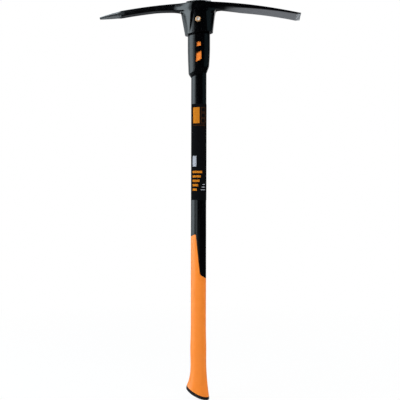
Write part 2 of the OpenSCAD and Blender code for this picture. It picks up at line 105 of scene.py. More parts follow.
MOTTLE_DETAIL, GRAIN_DETAIL = 4.0, 3.0
NOISE_SPAN = (0.3, 0.7)  # where most of a noise's values lie
MIRROR_RAYS = ("Is Glossy Ray", "Is Transmission Ray")
WHITE = "#ffffff"
FLOOR_GAP = 0.0005  # metres between the floor and the part
FRONT = 1.5 * math.pi  # angle of a section's front


class Ends(Enum):
    """How the rows of a surface close."""

    LOOP = "the last row joins the first"
    POLES = "each end row closes on its centre"


class Ink(Enum):
    """Inks of the printed film."""

    BLACK = "black"
    ORANGE = "orange"
    UMBER = "umber"
    GREY = "grey"


# Shape arithmetic


def mix(a: Any, b: Any, f: Any) -> Any:
    """Return the value a share f of the way from a to b."""
    return a + (b - a) * f


def unit(f: Any) -> Any:
    """Clip to the range 0 to 1."""
    return np.clip(f, 0.0, 1.0)


def ease(f: Any) -> Any:
    """Return the smooth step 3 u^2 - 2 u^3 of the clipped value."""
    u = unit(f)
    return u * u * (3.0 - 2.0 * u)


def bent(s: Any, straight: float) -> Any:
    """Return a run that is partly straight and partly a parabola: k s + (1 - k) s^2."""
    return straight * s + (1.0 - straight) * s * s


def soft_max(a: Any, b: Any, k: float) -> Any:
    """Return the greater of two values, with a fillet of size k where they cross."""
    h = np.maximum(k - np.abs(a - b), 0.0)
    return np.maximum(a, b) + h * h / (4.0 * k)


def angles() -> Array:
    """Return the angles round a section, closer on the front and back than at the narrow ends."""
    u = 2.0 * np.pi * (np.arange(COLUMNS) + 0.5) / COLUMNS
    return u + BUNCHING * np.sin(2.0 * u)


def oval_radius(a: Any, b: Any, t: Array, power: float = 2.3) -> Array:
    """Return the radius at angle t of the super-ellipse |x/a|^p + |y/b|^p = 1."""
    return (np.abs(np.cos(t) / a) ** power + np.abs(np.sin(t) / b) ** power) ** (-1.0 / power)


def level(z: float, slope: float = 0.0) -> Height:
    """Return a height function that falls by slope for each millimetre towards the blade."""
    return lambda x: z - slope * x


def ring(a: float, b: float, height: Height) -> Array:
    """Carry an oval section to a height.

    The point at angle t is r(t) (cos t, sin t), and its height is a function of its x.

    Args:
        a: Half width along X.
        b: Half depth along Y.
        height: Height as a function of x.

    Returns:
        One ring of points.
    """
    t = angles()
    r = oval_radius(a, b, t)
    x = r * np.cos(t)
    return np.stack([x, r * np.sin(t), height(x)], axis=-1)


def rounded(rings: Sequence[Array], radii: Sequence[float], ends: Ends, steps: int = 5) -> Array:
    """Carry a profile of rings past rounded corners.

    A corner c with a radius becomes the curve (1-f)^2 p + 2 f (1-f) c + f^2 q between the points p
    and q that lie one radius before and after it.

    Args:
        rings: Corner rings in order along the profile.
        radii: Corner radius of each ring, 0 for a sharp one.
        ends: Whether the profile is a loop or ends in poles.
        steps: Rows along each rounded corner.

    Returns:
        Rows of points.
    """
    stack = np.stack(rings)
    f = np.linspace(0.0, 1.0, steps + 1)[:, None, None]
    rows = []
    for i, radius in enumerate(radii):
        corner = stack[i]
        if radius == 0.0 or (ends is Ends.POLES and i in (0, len(radii) - 1)):
            rows.append(corner[None])
            continue
        sides = []
        for other in (stack[i - 1], stack[(i + 1) % len(radii)]):
            way = other - corner
            length = np.linalg.norm(way, axis=-1, keepdims=True)
            sides.append(corner + way * np.minimum(radius / length, CORNER_SHARE))
        rows.append((1 - f) ** 2 * sides[0] + 2 * f * (1 - f) * corner + f**2 * sides[1])
    return np.concatenate(rows)


def corner_fillet(x: Array, at: tuple[float, float], before: float, after: float, radius: float) -> Array:
    """Follow two straight lines that meet in a corner rounded by a circle.

    The circle's centre lies one radius from both lines, and its arc holds between its two points of
    contact.

    Args:
        x: Places along X.
        at: Corner of the two lines.
        before: Slope of the line towards -X.
        after: Slope of the line towards +X.
        radius: Radius of the circle.

    Returns:
        Height of the line at each place.
    """
    side = 1.0 if after < before else -1.0
    q_before, q_after = math.hypot(1.0, before), math.hypot(1.0, after)
    shift = side * radius * (q_before - q_after) / (before - after)
    cx = at[0] + shift
    cz = at[1] + before * shift - side * radius * q_before
    first, last = cx - side * radius * before / q_before, cx - side * radius * after / q_after
    arc = cz + side * np.sqrt(np.maximum(radius**2 - (x - cx) ** 2, 0.0))
    line = at[1] + np.where(x < at[0], before, after) * (x - at[0])
    return np.where((x > first) & (x < last), arc, line)


# Meshes


def surface(name: str, rows: Array, ends: Ends, uv: Array | None = None) -> Piece:
    """Make a closed mesh from rows of points, whose columns always join up.

    Args:
        name: Name of the object.
        rows: Points in millimetres, as rows by columns by 3.
        ends: Whether the rows form a loop or close on a pole at each end.
        uv: Pattern coordinates, as rows by columns + 1 by 2, so that the seam has both its values.

    Returns:
        The new object, linked to the scene and smooth shaded.
    """
    n, c = rows.shape[:2]
    index = np.arange(n * c).reshape(n, c)
    right = np.roll(index, -1, axis=1)
    if ends is Ends.LOOP:
        quads = np.stack([index, right, np.roll(right, -1, axis=0), np.roll(index, -1, axis=0)], -1)
    else:
        quads = np.stack([index[:-1], right[:-1], right[1:], index[1:]], -1)
    points = rows.reshape(-1, 3)
    faces = quads.reshape(-1, 4)
    fans = np.zeros((0, 3), dtype=int)
    if ends is Ends.POLES:
        points = np.concatenate([points, rows[[0, -1]].mean(axis=1)])
        first = np.stack([np.full(c, n * c), right[0], index[0]], -1)
        last = np.stack([np.full(c, n * c + 1), index[-1], right[-1]], -1)
        fans = np.concatenate([first, last])
    corners = np.concatenate([faces[:, [0, 1, 2]], faces[:, [0, 2, 3]], fans])
    a, b, d = points[corners[:, 0]], points[corners[:, 1]], points[corners[:, 2]]
    if np.einsum("ij,ij->i", a, np.cross(b, d)).sum() < 0.0:
        faces, fans = faces[:, ::-1], fans[:, ::-1]
    mesh = bpy.data.meshes.new(name)
    mesh.from_pydata((points * MM).tolist(), [], faces.tolist() + fans.tolist())
    if uv is not None:
        column = np.arange(quads.shape[0] * c).reshape(-1, c) % c
        across = np.stack([column, column + 1, column + 1, column], -1)
        row = np.arange(quads.shape[0])[:, None] + np.zeros((1, c), dtype=int)
        along = np.stack([row, row, row + 1, row + 1], -1) % n
        corner_uv = uv[along, across].reshape(-1, 4, 2)
        if faces[0, 0] != quads[0, 0, 0]:
            corner_uv = corner_uv[:, ::-1]
        layer = mesh.uv_layers.new(name="pattern")
        flat = np.zeros((len(mesh.loops), 2))
        flat[: corner_uv.size // 2] = corner_uv.reshape(-1, 2)
        layer.data.foreach_set("uv", flat.ravel())
    piece = bpy.data.objects.new(name, mesh)
    bpy.context.scene.collection.objects.link(piece)
    smooth(piece)
    return piece


def turned(
    name: str,
    profile: Sequence[tuple[float, float]],
    drop: float,
    flats: Sequence[int] = (),
    columns: int = 96,
) -> Piece:
    """Turn a profile about the bolt's axis, which runs from front to back.

    The point at angle t is r (cos t, sin t) in the front view. A hexagon's radius is that of its
    flats over the cosine of the angle from the nearest flat's middle.

    Args:
        name: Name of the object.
        profile: Radius and depth of each row; a hexagon gives half the width across its flats.
        drop: Depth of the axis below the origin.
        flats: Rows that are hexagons.
        columns: Points round the axis.

    Returns:
        The turned object.
    """
    t = 2.0 * np.pi * np.arange(columns) / columns
    radius, depth = np.array(profile).T
    hexagon = 1.0 / np.cos((t + np.pi / 6.0) % (np.pi / 3.0) - np.pi / 6.0)
    shape = np.where(np.isin(np.arange(len(radius)), flats)[:, None], hexagon[None], 1.0)
    r = radius[:, None] * shape
    y = np.broadcast_to(depth[:, None], r.shape)
    return surface(name, np.stack([r * np.cos(t), y, r * np.sin(t) - drop], axis=-1), Ends.POLES)


def smooth(piece: Piece, sharp: float = 34.0) -> None:
    """Shade a piece smoothly, apart from edges that turn by more than the sharp angle."""
    piece.data.shade_smooth()
    piece.data.set_sharp_from_angle(angle=math.radians(sharp))


def cut(piece: Piece, cutters: Sequence[Piece]) -> None:
    """Cut other closed meshes out of a piece and delete them.

    Args:
        piece: Piece that loses material.
        cutters: Closed meshes to cut away.
    """
    for cutter in cutters:
        tool = piece.modifiers.new("cut", "BOOLEAN")
        tool.operation, tool.solver, tool.object = "DIFFERENCE", "EXACT", cutter
    graph = bpy.context.evaluated_depsgraph_get()
    whole = piece.data
    mesh = bpy.data.meshes.new_from_object(piece.evaluated_get(graph))
    piece.modifiers.clear()
    piece.data = mesh
    mesh.name = piece.name
    bpy.data.meshes.remove(whole)
    for cutter in cutters:
        bpy.data.meshes.remove(cutter.data)
    smooth(piece)


# Finishes


def linear(colour: str) -> tuple[float, float, float, float]:
    """Turn an sRGB hex colour into linear values with full opacity.

    Args:
        colour: Colour as # and six hex digits.

    Returns:
        Red, green, blue and opacity.
    """
    parts = [int(colour[i : i + 2], 16) / 255.0 for i in (1, 3, 5)]
    rgb = [p / 12.92 if p <= 0.04045 else ((p + 0.055) / 1.055) ** 2.4 for p in parts]
    return rgb[0], rgb[1], rgb[2], 1.0


def per_mm(size: float) -> float:
    """Return the texture scale, on coordinates in metres, of a pattern of this size in mm."""
    return 1.0 / (size * MM)


def add_node(tree: Tree, kind: str, inputs: Inputs = (), **settings: Any) -> bpy.types.Node:
    """Add a shader node with its settings, its socket values and its incoming links.

    Args:
        tree: Tree that gets the node.
        kind: Node type, without Blender's prefix for shader nodes.
        inputs: A value or the output socket that feeds it, for each named or numbered input socket.
        settings: Properties of the node.

    Returns:
        The new node.
    """
    node = tree.nodes.new(f"ShaderNode{kind}")
    for key, value in settings.items():
        setattr(node, key, value)
    for key, value in inputs.items() if isinstance(inputs, dict) else enumerate(inputs):
        if isinstance(value, Socket):
            tree.links.new(value, node.inputs[key])
        else:
            node.inputs[key].default_value = value
    return node


def blank(block: Material | bpy.types.World) -> Tree:
    """Switch a material or a world to nodes and empty its tree.

    Args:
        block: Material or world.

    Returns:
        Its empty tree.
    """
    block.use_nodes = True
    block.node_tree.nodes.clear()
    return block.node_tree


@dataclass(frozen=True)
class Finish:
    """A finish with a mottled colour, an uneven gloss and a grain in its surface.

    The colour wanders between two shades over the mottle's size, the roughness wanders by its spread
    over the same size, and the grain is a noise bump of its own size and depth. Sizes and depths are in
    millimetres.
    """

    name: str
    dark: str
    light: str
    roughness: float
    spread: float
    mottle: float
    grain: float
    depth: float
    metallic: float = 0.0
    ior: float = 1.5
    sheen: float = 0.5
    stretch: tuple[float, float, float] = (1.0, 1.0, 1.0)

    def material(self) -> Material:
        """Build the finish as a node material.

        Returns:
            The material.
        """
        material = bpy.data.materials.new(self.name)
        tree = blank(material)
        place = add_node(tree, "TexCoord").outputs["Object"]
        run = add_node(tree, "Mapping", {"Vector": place, "Scale": self.stretch}).outputs["Vector"]
        shader = add_node(tree, "BsdfPrincipled", self.sockets(tree, run))
        add_node(tree, "OutputMaterial", {"Surface": shader.outputs["BSDF"]})
        return material

    def sockets(self, tree: Tree, run: Socket) -> dict[str, Any]:
        """Work out what goes into the shader.

        Args:
            tree: Tree that gets the nodes.
            run: Coordinates of the patterns.

        Returns:
            For each socket of the shader, a value or the socket that feeds it.
        """
        patches = add_node(
            tree, "TexNoise", {"Vector": run, "Scale": per_mm(self.mottle), "Detail": MOTTLE_DETAIL}
        ).outputs["Fac"]
        span = (self.roughness - self.spread, self.roughness + self.spread)
        return {
            "Base Color": self.colour(tree, patches),
            "Metallic": self.metallic,
            "Roughness": add_node(tree, "MapRange", (patches, *NOISE_SPAN, *span)).outputs[0],
            "IOR": self.ior,
            "Specular IOR Level": self.sheen,
            "Normal": self.relief(tree, run),
        }

    def colour(self, tree: Tree, patches: Socket) -> Socket:
        """Mix the two shades by the mottle, which runs from 0 to 1."""
        shades = {0: patches, 6: linear(self.dark), 7: linear(self.light)}
        return add_node(tree, "Mix", shades, data_type="RGBA").outputs[2]

    def relief(self, tree: Tree, run: Socket) -> Socket:
        """Raise the grain as a bump.

        Args:
            tree: Tree that gets the nodes.
            run: Coordinates of the grain.

        Returns:
            Socket with the normal.
        """
        grain = add_node(
            tree, "TexNoise", {"Vector": run, "Scale": per_mm(self.grain), "Detail": GRAIN_DETAIL}
        ).outputs["Fac"]
        bump = {"Strength": 1.0, "Distance": self.depth * MM, "Height": grain}
        return add_node(tree, "Bump", bump).outputs["Normal"]


@dataclass(frozen=True)
class DiamondRubber(Finish):
    """A soft grip moulded with a field of small diamonds.

    The diamonds are the product of two sine waves that cross, sin(pi (u+v)) sin(pi (u-v)), on the
    grip's own pattern coordinates, which count diamonds round and along it.
    """

    diamond: float = 0.0

    def relief(self, tree: Tree, run: Socket) -> Socket:
        """Raise the diamonds over the fine grain.

        Args:
            tree: Tree that gets the nodes.
            run: Coordinates of the fine grain.

        Returns:
            Socket with the normal.
        """
        count = add_node(tree, "UVMap", uv_map="pattern").outputs["UV"]
        parts = add_node(tree, "SeparateXYZ", (count,)).outputs
        waves = []
        for operation in ("ADD", "SUBTRACT"):
            turn = add_node(tree, "Math", (parts[0], parts[1]), operation=operation).outputs[0]
            angle = add_node(tree, "Math", (turn, math.pi), operation="MULTIPLY").outputs[0]
            waves.append(add_node(tree, "Math", (angle,), operation="SINE").outputs[0])
        height = add_node(tree, "Math", waves, operation="MULTIPLY").outputs[0]
        bump = {"Strength": 1.0, "Distance": self.diamond * MM, "Height": height}
        return add_node(tree, "Bump", bump | {"Normal": super().relief(tree, run)}).outputs["Normal"]


@dataclass(frozen=True)
class GroundCoat(Finish):
    """A coat that is ground away to bare steel, and carries painted shade that takes off its gloss, by shares
    that the mesh's attributes hold.
    """

    bare: str = "#808080"
    shine: float = 0.7  # metallic share of bare steel
    ground: float = 0.4  # roughness of bare steel
    shaded_gloss: float = 0.007  # specular level where the coat carries painted shade

    def sockets(self, tree: Tree, run: Socket) -> dict[str, Any]:
        """Turn the coat to metal where it is ground away, and take its gloss off where it carries painted
        shade.

        Args:
            tree: Tree that gets the nodes.
            run: Coordinates of the patterns.

        Returns:
            For each socket of the shader, a value or the socket that feeds it.
        """
        coat = super().sockets(tree, run)
        # painted shade: where the mesh holds it, the coat's specular level drops so that it reflects less
        # light
        bare, painted_shade = self.share(tree, "bare"), self.share(tree, "painted_shade")
        metal = add_node(tree, "Math", (bare, self.shine), operation="MULTIPLY").outputs[0]
        rough = add_node(tree, "Mix", {0: bare, 2: coat["Roughness"], 3: self.ground}).outputs[0]
        gloss = add_node(tree, "Mix", {0: painted_shade, 2: self.sheen, 3: self.shaded_gloss}).outputs[0]
        return coat | {"Metallic": metal, "Roughness": rough, "Specular IOR Level": gloss}

    def share(self, tree: Tree, name: str) -> Socket:
        """Return the socket with a share that the mesh holds."""
        return add_node(tree, "Attribute", attribute_name=name).outputs["Fac"]

    def colour(self, tree: Tree, patches: Socket) -> Socket:
        """Mix the coat's colour with that of the steel."""
        shades = {0: self.share(tree, "bare"), 6: super().colour(tree, patches), 7: linear(self.bare)}
        return add_node(tree, "Mix", shades, data_type="RGBA").outputs[2]


@dataclass(frozen=True)
class PlatedBolt(Finish):
    """A plated head that is pale round its socket, out to a radius from its axis."""

    centre_tone: str = "#ffffff"
    centre_r: float = 4.0
    centre_full: float = 0.7
    drop: float = 0.0

    def colour(self, tree: Tree, patches: Socket) -> Socket:
        """Fade from the pale tone to the plated one round the bolt's axis.

        Args:
            tree: Tree that gets the nodes.
            patches: Mottle, from 0 to 1.

        Returns:
            Socket with the colour.
        """
        place = add_node(tree, "TexCoord").outputs["Object"]
        to_axis = (place, (1.0, 0.0, 1.0), (0.0, 0.0, self.drop * MM))
        across = add_node(tree, "VectorMath", to_axis, operation="MULTIPLY_ADD").outputs[0]
        radius = add_node(tree, "VectorMath", (across,), operation="LENGTH").outputs["Value"]
        # the colour is pale out to a radius round the socket and turns to the plated colour beyond it
        fade = (radius, self.centre_full * self.centre_r * MM, self.centre_r * MM)
        plated = add_node(tree, "MapRange", fade).outputs[0]
        shades = {0: plated, 6: linear(self.centre_tone), 7: super().colour(tree, patches)}
        return add_node(tree, "Mix", shades, data_type="RGBA").outputs[2]


@dataclass(frozen=True)
class PrintedFilm(Finish):
    """A film whose inks lie in the colour attribute of its mesh."""

    def colour(self, tree: Tree, patches: Socket) -> Socket:
        """Vary the inks' strength a little by the mottle.

        Args:
            tree: Tree that gets the nodes.
            patches: Mottle, from 0 to 1.

        Returns:
            Socket with the colour.
        """
        inks = add_node(tree, "Attribute", attribute_name="ink").outputs["Color"]
        shades = {0: 1.0, 6: inks, 7: super().colour(tree, patches)}
        return add_node(tree, "Mix", shades, data_type="RGBA", blend_type="MULTIPLY").outputs[2]


INKS = {
    Ink.BLACK: "#0d0d0f",
    Ink.ORANGE: "#c9781f",
    Ink.UMBER: "#4a2a10",
    Ink.GREY: "#a9aab2",
}

# Epoxy powder baked on forged steel: black, satin, with a faint orange peel, grey where point and edge are
# ground, and with painted shade that takes the gloss off the undersides beside the eye
POWDER_COAT = GroundCoat(
    "powder_coated_forged_steel", dark="#010102", light="#030304", roughness=0.2, spread=0.04,
    mottle=14.0, grain=3.0, depth=0.02, ior=1.59, bare="#b8babc",
)
# Glass filled nylon from a spark eroded mould: black, a little duller, with a fine even grain
MOULDED_NYLON = Finish(
    "moulded_glass_filled_nylon", dark="#010102", light="#030304", roughness=0.22, spread=0.04,
    mottle=9.0, grain=1.2, depth=0.02, ior=1.49,
)
# Wound glass composite under a smooth moulded skin: black, glossy, with faint streaks lengthwise
COMPOSITE_SKIN = Finish(
    "moulded_composite_shell", dark="#010102", light="#030304", roughness=0.2, spread=0.04,
    mottle=6.0, grain=2.0, depth=0.006, ior=1.46, stretch=(1.0, 1.0, 0.1),
)
# Thermoplastic elastomer moulded over the shell: warm orange, satin, with small raised diamonds
SOFT_RUBBER = DiamondRubber(
    "overmoulded_elastomer", dark="#ed7d20", light="#f58728", roughness=0.36, spread=0.05,
    mottle=12.0, grain=0.9, depth=0.02, ior=1.45, sheen=0.55, diamond=0.1,
)
# The same elastomer as a plain sleeve: dull orange with a mould's fine grain
SLEEVE_RUBBER = Finish(
    "moulded_elastomer", dark="#ee7c26", light="#f6882e", roughness=0.6, spread=0.05,
    mottle=8.0, grain=0.9, depth=0.02, ior=1.45,
)
# Yellow chromated zinc on steel: warm metal with reddish patches, pale round the socket
YELLOW_ZINC = PlatedBolt(
    "yellow_chromated_zinc", dark="#b07c48", light="#d3a678", roughness=0.36, spread=0.08,
    mottle=2.4, grain=0.6, depth=0.008, metallic=0.4, centre_tone="#e4ddd6", centre_r=4.4, drop=25.5,
)
# Turned steel: grey metal with a fine uneven sheen
TURNED_STEEL = Finish(
    "turned_steel", dark="#8f9094", light="#a6a7aa", roughness=0.32, spread=0.06,
    mottle=1.5, grain=0.5, depth=0.01, metallic=1.0,
)
# Drawn glass fibre rod: straw colour with fibres along its length
DRAWN_ROD = Finish(
    "drawn_glass_fibre", dark="#a39468", light="#c2b58c", roughness=0.5, spread=0.06,
    mottle=2.0, grain=0.6, depth=0.02, stretch=(1.0, 1.0, 0.05),
)
# Printed polyester film with a matt back-printed face: flat inks with hardly any sheen
FILM = PrintedFilm(
    "printed_polyester_film", dark="#d8d8d8", light="#ffffff", roughness=0.6, spread=0.03,
    mottle=5.0, grain=1.0, depth=0.004, sheen=0.015,
)


# Sub-assemblies


@dataclass
class SubAssembly:
    """A group of pieces that are seated in the frame in the same way, with the sizes that all share."""

    eye_rise: float = 17.3
    eye_drop: float = 54.0
    eye_slant: float = 6.0
    shaft_a: float = 17.5
    shaft_b: float = 13.5
    plug_a: float = 12.4
    plug_b: float = 8.4
    bolt_drop: float = 25.5
    seat_y: float = 22.14
    bush_hole_d: float = 14.0
    play: float = 0.1

    def drill(self, name: str, diameter: float, front: float = -CUT_REACH, back: float = CUT_REACH) -> Piece:
        """Make a round cutter along the bolt's axis, from one depth to another."""
        return turned(name, [(diameter / 2.0, y) for y in (front, back)], self.bolt_drop)

    def seat(self, piece: Piece, node: str, slot: str, material: Material) -> Piece:
        """Dress a piece and put it in its node's place.

        Args:
            piece: New piece.
            node: CAD node that it stands for.
            slot: Material slot of the record; not used.
            material: Finish of the piece.

        Returns:
            The piece.
        """
        piece.data.materials.clear()
        piece.data.materials.append(material)
        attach(piece, "root")
        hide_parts(node)
        LOG.info("%s stands for %s, %d faces", piece.name, node, len(piece.data.polygons))
        return piece


@dataclass
class PickHead(SubAssembly):
    """Forged head: spike, adze blade and the eye between them.

    The head is a height field over its front view: at each x the section runs from a lower to an
    upper level, and at each level its half depth is the greatest of the arm, the eye's cheek and the
    eye's wing, with filleted creases.
    """

    hole_a: float = 20.9
    hole_b: float = 16.9
    rim_reach: float = 31.5
    spike_in: float = 40.4
    blade_in: float = 36.9
    spike_fillet: float = 5.0
    blade_fillet: float = 5.0
    cheek_low: float = 5.4
    cheek_top: float = 9.0
    cheek_power: float = 2.15
    wing_step: float = 4.2
    wing_fade: float = 2.9
    wing_tilt: float = 0.05
    ridge_low: float = 20.0
    ridge_top: float = 15.5
    ridge_r: float = 0.8
    spine_spike: float = 5.0
    spine_blade: float = 8.0
    flare: float = 20.0
    flare_low: float = 12.0
    flare_run: float = 10.0
    flare_top: float = 2.0
    flare_up: float = 12.0
    flare_fade: float = 0.25
    shoulder_r: float = 4.0
    ridge_in: float = 9.0
    flank_bow: float = 0.4
    flank_over: float = 1.5
    crease_r: float = 0.4
    edge_r: float = 1.6
    boss_r: float = 1.6
    boss_grow: float = 2.0
    foot_r: float = 0.8
    boss_shoulder: float = 5.5
    boss_fall: float = 40.0
    boss_run: float = 24.0
    spike_reach: float = 229.7
    point_len: float = 58.7
    point_bevel: float = 0.75
    point_thin: float = 1.3
    point_bend: float = 1.3
    spike_step: float = 1.4
    spike_drop: float = 13.3
    spike_straight: float = 0.3
    point_drop: float = 13.4
    spike_root_h: float = 22.2
    spike_end_h: float = 14.8
    spike_thin: float = 1.6
    spike_thin_run: float = 0.55
    spike_root_w: float = 20.0
    spike_end_w: float = 18.0
    spike_top_flat: float = 0.85
    spike_flat: float = 0.5
    spike_round: float = 5.5
    tip_h: float = 5.0
    tip_w: float = 9.0
    point_grow: float = 1.15
    point_crown: float = 0.5
    point_ridge: float = 0.47
    point_start: float = 0.32
    bevel_bare: float = 0.6
    bevel_under: float = 0.6
    bevel_inset: float = 0.985
    facet_bare: float = 0.25
    facet_fade: float = 0.1
    # painted shade on the undersides beside the eye: where it starts and fades, and how far faces must look
    # down
    shade_in: float = 4.0
    shade_x: float = 56.0
    shade_run: float = 38.0
    shade_tilt: tuple[float, float] = (0.2, 0.6)
    blade_reach: float = 229.2
    bevel_len: float = 9.4
    blade_step: float = 2.3
    blade_drop: float = 33.4
    blade_straight: float = 0.4
    blade_root_t: float = 15.0
    blade_end_t: float = 4.6
    edge_t: float = 1.6
    thin_power: float = 0.75
    blade_root_w: float = 41.0
    blade_edge_w: float = 59.0
    widen_power: float = 1.2
    blade_flat: float = 0.97
    blade_root_flat: float = 0.08
    blade_root_run: float = 65.0
    blade_root_round: float = 1.8
    blade_round: float = 8.0
    ledge_slope: float = 1.2
    split_share: float = 0.3
    split_least: float = 0.05
    spot_d: float = 14.6
    shank_hole_d: float = 8.4
    barrel_hole_d: float = 10.6
    core_span: tuple[float, float] = (-90.0, 50.0)
    turn_rows: int = 6
    lower_rows: int = 26
    upper_rows: int = 18
    strip_rows: int = 12

    @property
    def point_x(self) -> float:
        """Reach where the ground point begins."""
        return self.spike_reach - self.point_len

    @property
    def bevel_x(self) -> float:
        """Reach where the ground bevel begins."""
        return self.blade_reach - self.bevel_len

    def rim_z(self, x: Any) -> Any:
        """Height of the eye's slanted lower rim."""
        return -self.eye_drop + math.tan(math.radians(self.eye_slant)) * x

    def arm_top(self, x: Array) -> Array:
        """Height of the arms' upper face: a bent spike and a bent blade, eased across the eye.

        Args:
            x: Places along the head.

        Returns:
            Heights.
        """
        d = -x
        root = self.eye_rise - self.spike_step
        run = unit((d - self.hole_a) / (self.point_x - self.hole_a))
        bar = root - self.spike_drop * bent(run, self.spike_straight)
        out = unit((d - self.point_x) / self.point_len)
        point = root - self.spike_drop - self.point_drop * out**self.point_bend
        spike = np.where(d < self.point_x, bar, point)
        run = unit((x - self.hole_a) / (self.blade_reach - self.hole_a))
        blade = self.eye_rise - self.blade_step - self.blade_drop * bent(run, self.blade_straight)
        return mix(spike, blade, self.across(x))

    def arm_t(self, x: Array) -> Array:
        """Thickness of the arms: a spike that tapers to its point and a blade that thins to its edge.

        Args:
            x: Places along the head.

        Returns:
            Thicknesses.
        """
        d = -x
        run = unit((d - self.hole_a) / (self.point_x - self.hole_a) / self.spike_thin_run)
        bar = mix(self.spike_end_h, self.spike_root_h, (1.0 - run) ** self.spike_thin)
        out = unit((d - self.point_x) / self.point_len)
        point = mix(self.spike_end_h, self.tip_h, out**self.point_thin)
        point = point + self.point_drop * (out - out**self.point_bend)
        spike = np.where(d < self.point_x, bar, point)
        run = unit((x - self.hole_a) / (self.bevel_x - self.hole_a)) ** self.thin_power
        plate = mix(self.blade_root_t, self.blade_end_t, run)
        bevel = mix(self.blade_end_t, self.edge_t, (x - self.bevel_x) / self.bevel_len)
        return mix(spike, np.where(x < self.bevel_x, plate, bevel), self.across(x))

    def across(self, x: Array) -> Array:
        """Share of the blade in the arms, from 0 at the spike's side of the hole to 1."""
        return ease((x + self.hole_a) / (2.0 * self.hole_a))

    def top_z(self, x: Array) -> Array:
        """Height of the top: the arms or the eye's boss, which falls away past its shoulder."""
        fall = self.boss_fall * ease((np.abs(x) - self.hole_a - self.boss_shoulder) / self.boss_run)
        return np.maximum(self.arm_top(x), self.eye_rise - fall)

    def low_z(self, x: Array) -> Array:
        """Height of the underside: the arm, a quarter circle fillet, the eye's side and its rim.

        Args:
            x: Places along the head.

        Returns:
            Heights.
        """
        d = np.abs(x)
        under = self.arm_top(x) - self.arm_t(x)
        inner = np.where(x < 0, self.spike_in, self.blade_in)
        r = np.where(x < 0, self.spike_fillet, self.blade_fillet)
        low = self.rim_z(np.where(x < 0, -self.rim_reach, self.rim_reach))
        fillet = under - r + np.sqrt(np.maximum(r * r - (inner + r - d) ** 2, 0.0))
        side = mix(low, under - r, (d - self.rim_reach) / (inner - self.rim_reach))
        shape = np.where(d > inner + r, under, np.where(d > inner, fillet, side))
        return np.maximum(shape, self.rim_z(x))

    def eye_y(self, x: Array, z: Array, arm: Array) -> Array:
        """Half depth of the eye: an oval cheek between wings that flare out of the arms.

        A wing has a flat front, a ridge and a flank that runs straight out to the eye's end. At the
        arms' level the flank is a smooth step that starts from the arm's own side and ends above in a
        rounded shoulder.

        Args:
            x: Places along the head.
            z: Heights.
            arm: Half depths of the arms there.

        Returns:
            Half depths.
        """
        d = np.abs(x)
        f = unit((z + self.eye_drop) / (self.eye_rise + self.eye_drop))
        b = self.hole_b + mix(self.cheek_low, self.cheek_top, f)
        wide = self.rim_reach + self.boss_grow * f
        cheek = b * np.maximum(1.0 - (d / wide) ** self.cheek_power, 0.0) ** (1.0 / self.cheek_power)
        low = self.rim_z(np.where(x < 0, -self.rim_reach, self.rim_reach))
        inner = np.where(x < 0, self.spike_in, self.blade_in)
        join = ease((z + self.flare_low) / self.flare_run)
        over = unit((z - self.arm_top(x)) / self.shoulder_r + 1.0)
        shoulder = mix(1.0, np.sqrt(1.0 - over * over), join)
        reach = mix(self.rim_reach, inner, unit((z - low) / (-low - self.spike_fillet / 2.0)))
        fade = self.flare_fade * ease((z - self.flare_top) / self.flare_up)
        reach = reach + self.flare * join * (1.0 - fade)
        ridge = mix(self.ridge_low, self.ridge_top, f) - self.ridge_in * join
        run = np.clip((reach - d) / (reach - ridge), 0.0, self.flank_over)
        bowed = run * (1.0 + self.flank_bow * (1.0 - run))
        front = b - self.wing_step * np.exp(-self.wing_fade * f) - self.wing_tilt * (ridge - d)
        spine = np.where(x < 0, self.spine_spike, self.spine_blade)
        start = mix(spine, np.maximum(arm, spine), join)
        flank = start + (front - start) * mix(bowed, ease(run), join) * shoulder
        wing = -soft_max(-flank, -front, self.ridge_r)
        return soft_max(cheek, wing, self.crease_r)

    def arm_y(self, x: Array, z: Array) -> Array:
        """Half depth of the arms: flat faces with bowed sides, the spike's point ground from its bar.

        Past the point's start the bar runs on unground, and its half depth is the lesser of the bar
        and a side face that narrows to the tip.

        Args:
            x: Places along the head.
            z: Heights.

        Returns:
            Half depths.
        """
        side = ease(x / self.hole_a)
        run = np.maximum((-x - self.hole_a) / (self.point_x - self.hole_a), 0.0)
        bar_top = self.eye_rise - self.spike_step - self.spike_drop * bent(run, self.spike_straight)
        past = x < -self.point_x
        thick = np.where(past, self.spike_end_h, self.arm_t(x))
        under = np.where(past, bar_top, self.arm_top(x)) - thick
        spike = mix(self.spike_root_w, self.spike_end_w, unit(-x / self.point_x))
        run = unit((x - self.hole_a) / (self.blade_reach - self.hole_a)) ** self.widen_power
        blade = mix(mix(self.spike_root_w, self.blade_root_w, side), self.blade_edge_w, run)
        half = np.where(past, self.point_half(x), np.where(x < 0, spike, blade) / 2.0)
        part = unit((z - under) / thick)
        out = ease((x - self.blade_in) / self.blade_root_run)
        lower = mix(self.spike_flat, mix(self.blade_root_flat, self.blade_flat, out), side)
        flat = np.where(part < 0.5, lower, mix(self.spike_top_flat, self.blade_flat, side))
        power = np.where(part < 0.5, mix(self.blade_root_round, self.blade_round, out), self.blade_round)
        power = mix(self.spike_round, power, side)
        off = np.abs(2.0 * part - 1.0)
        bar = half * (1.0 - (1.0 - flat) * off**power)
        bar = np.where(z < under, half * flat - self.ledge_slope * (under - z), bar)
        return np.where(past, np.minimum(bar, self.ground_y(x, z)), bar)

    def ground_y(self, x: Array, z: Array) -> Array:
        """Half depth of the ground point: a diamond round the bar, with facets that deepen from its start.

        Args:
            x: Places along the head.
            z: Heights.

        Returns:
            Half depths.
        """
        part = unit((z - self.arm_top(x)) / self.arm_t(x) + 1.0)
        below = self.point_bevel * (1.0 - part / self.point_ridge)
        above = self.point_crown * (part - self.point_ridge) / (1.0 - self.point_ridge)
        return self.point_half(x) * self.point_grow * (1.0 - self.ground_share(x) * np.maximum(below, above))

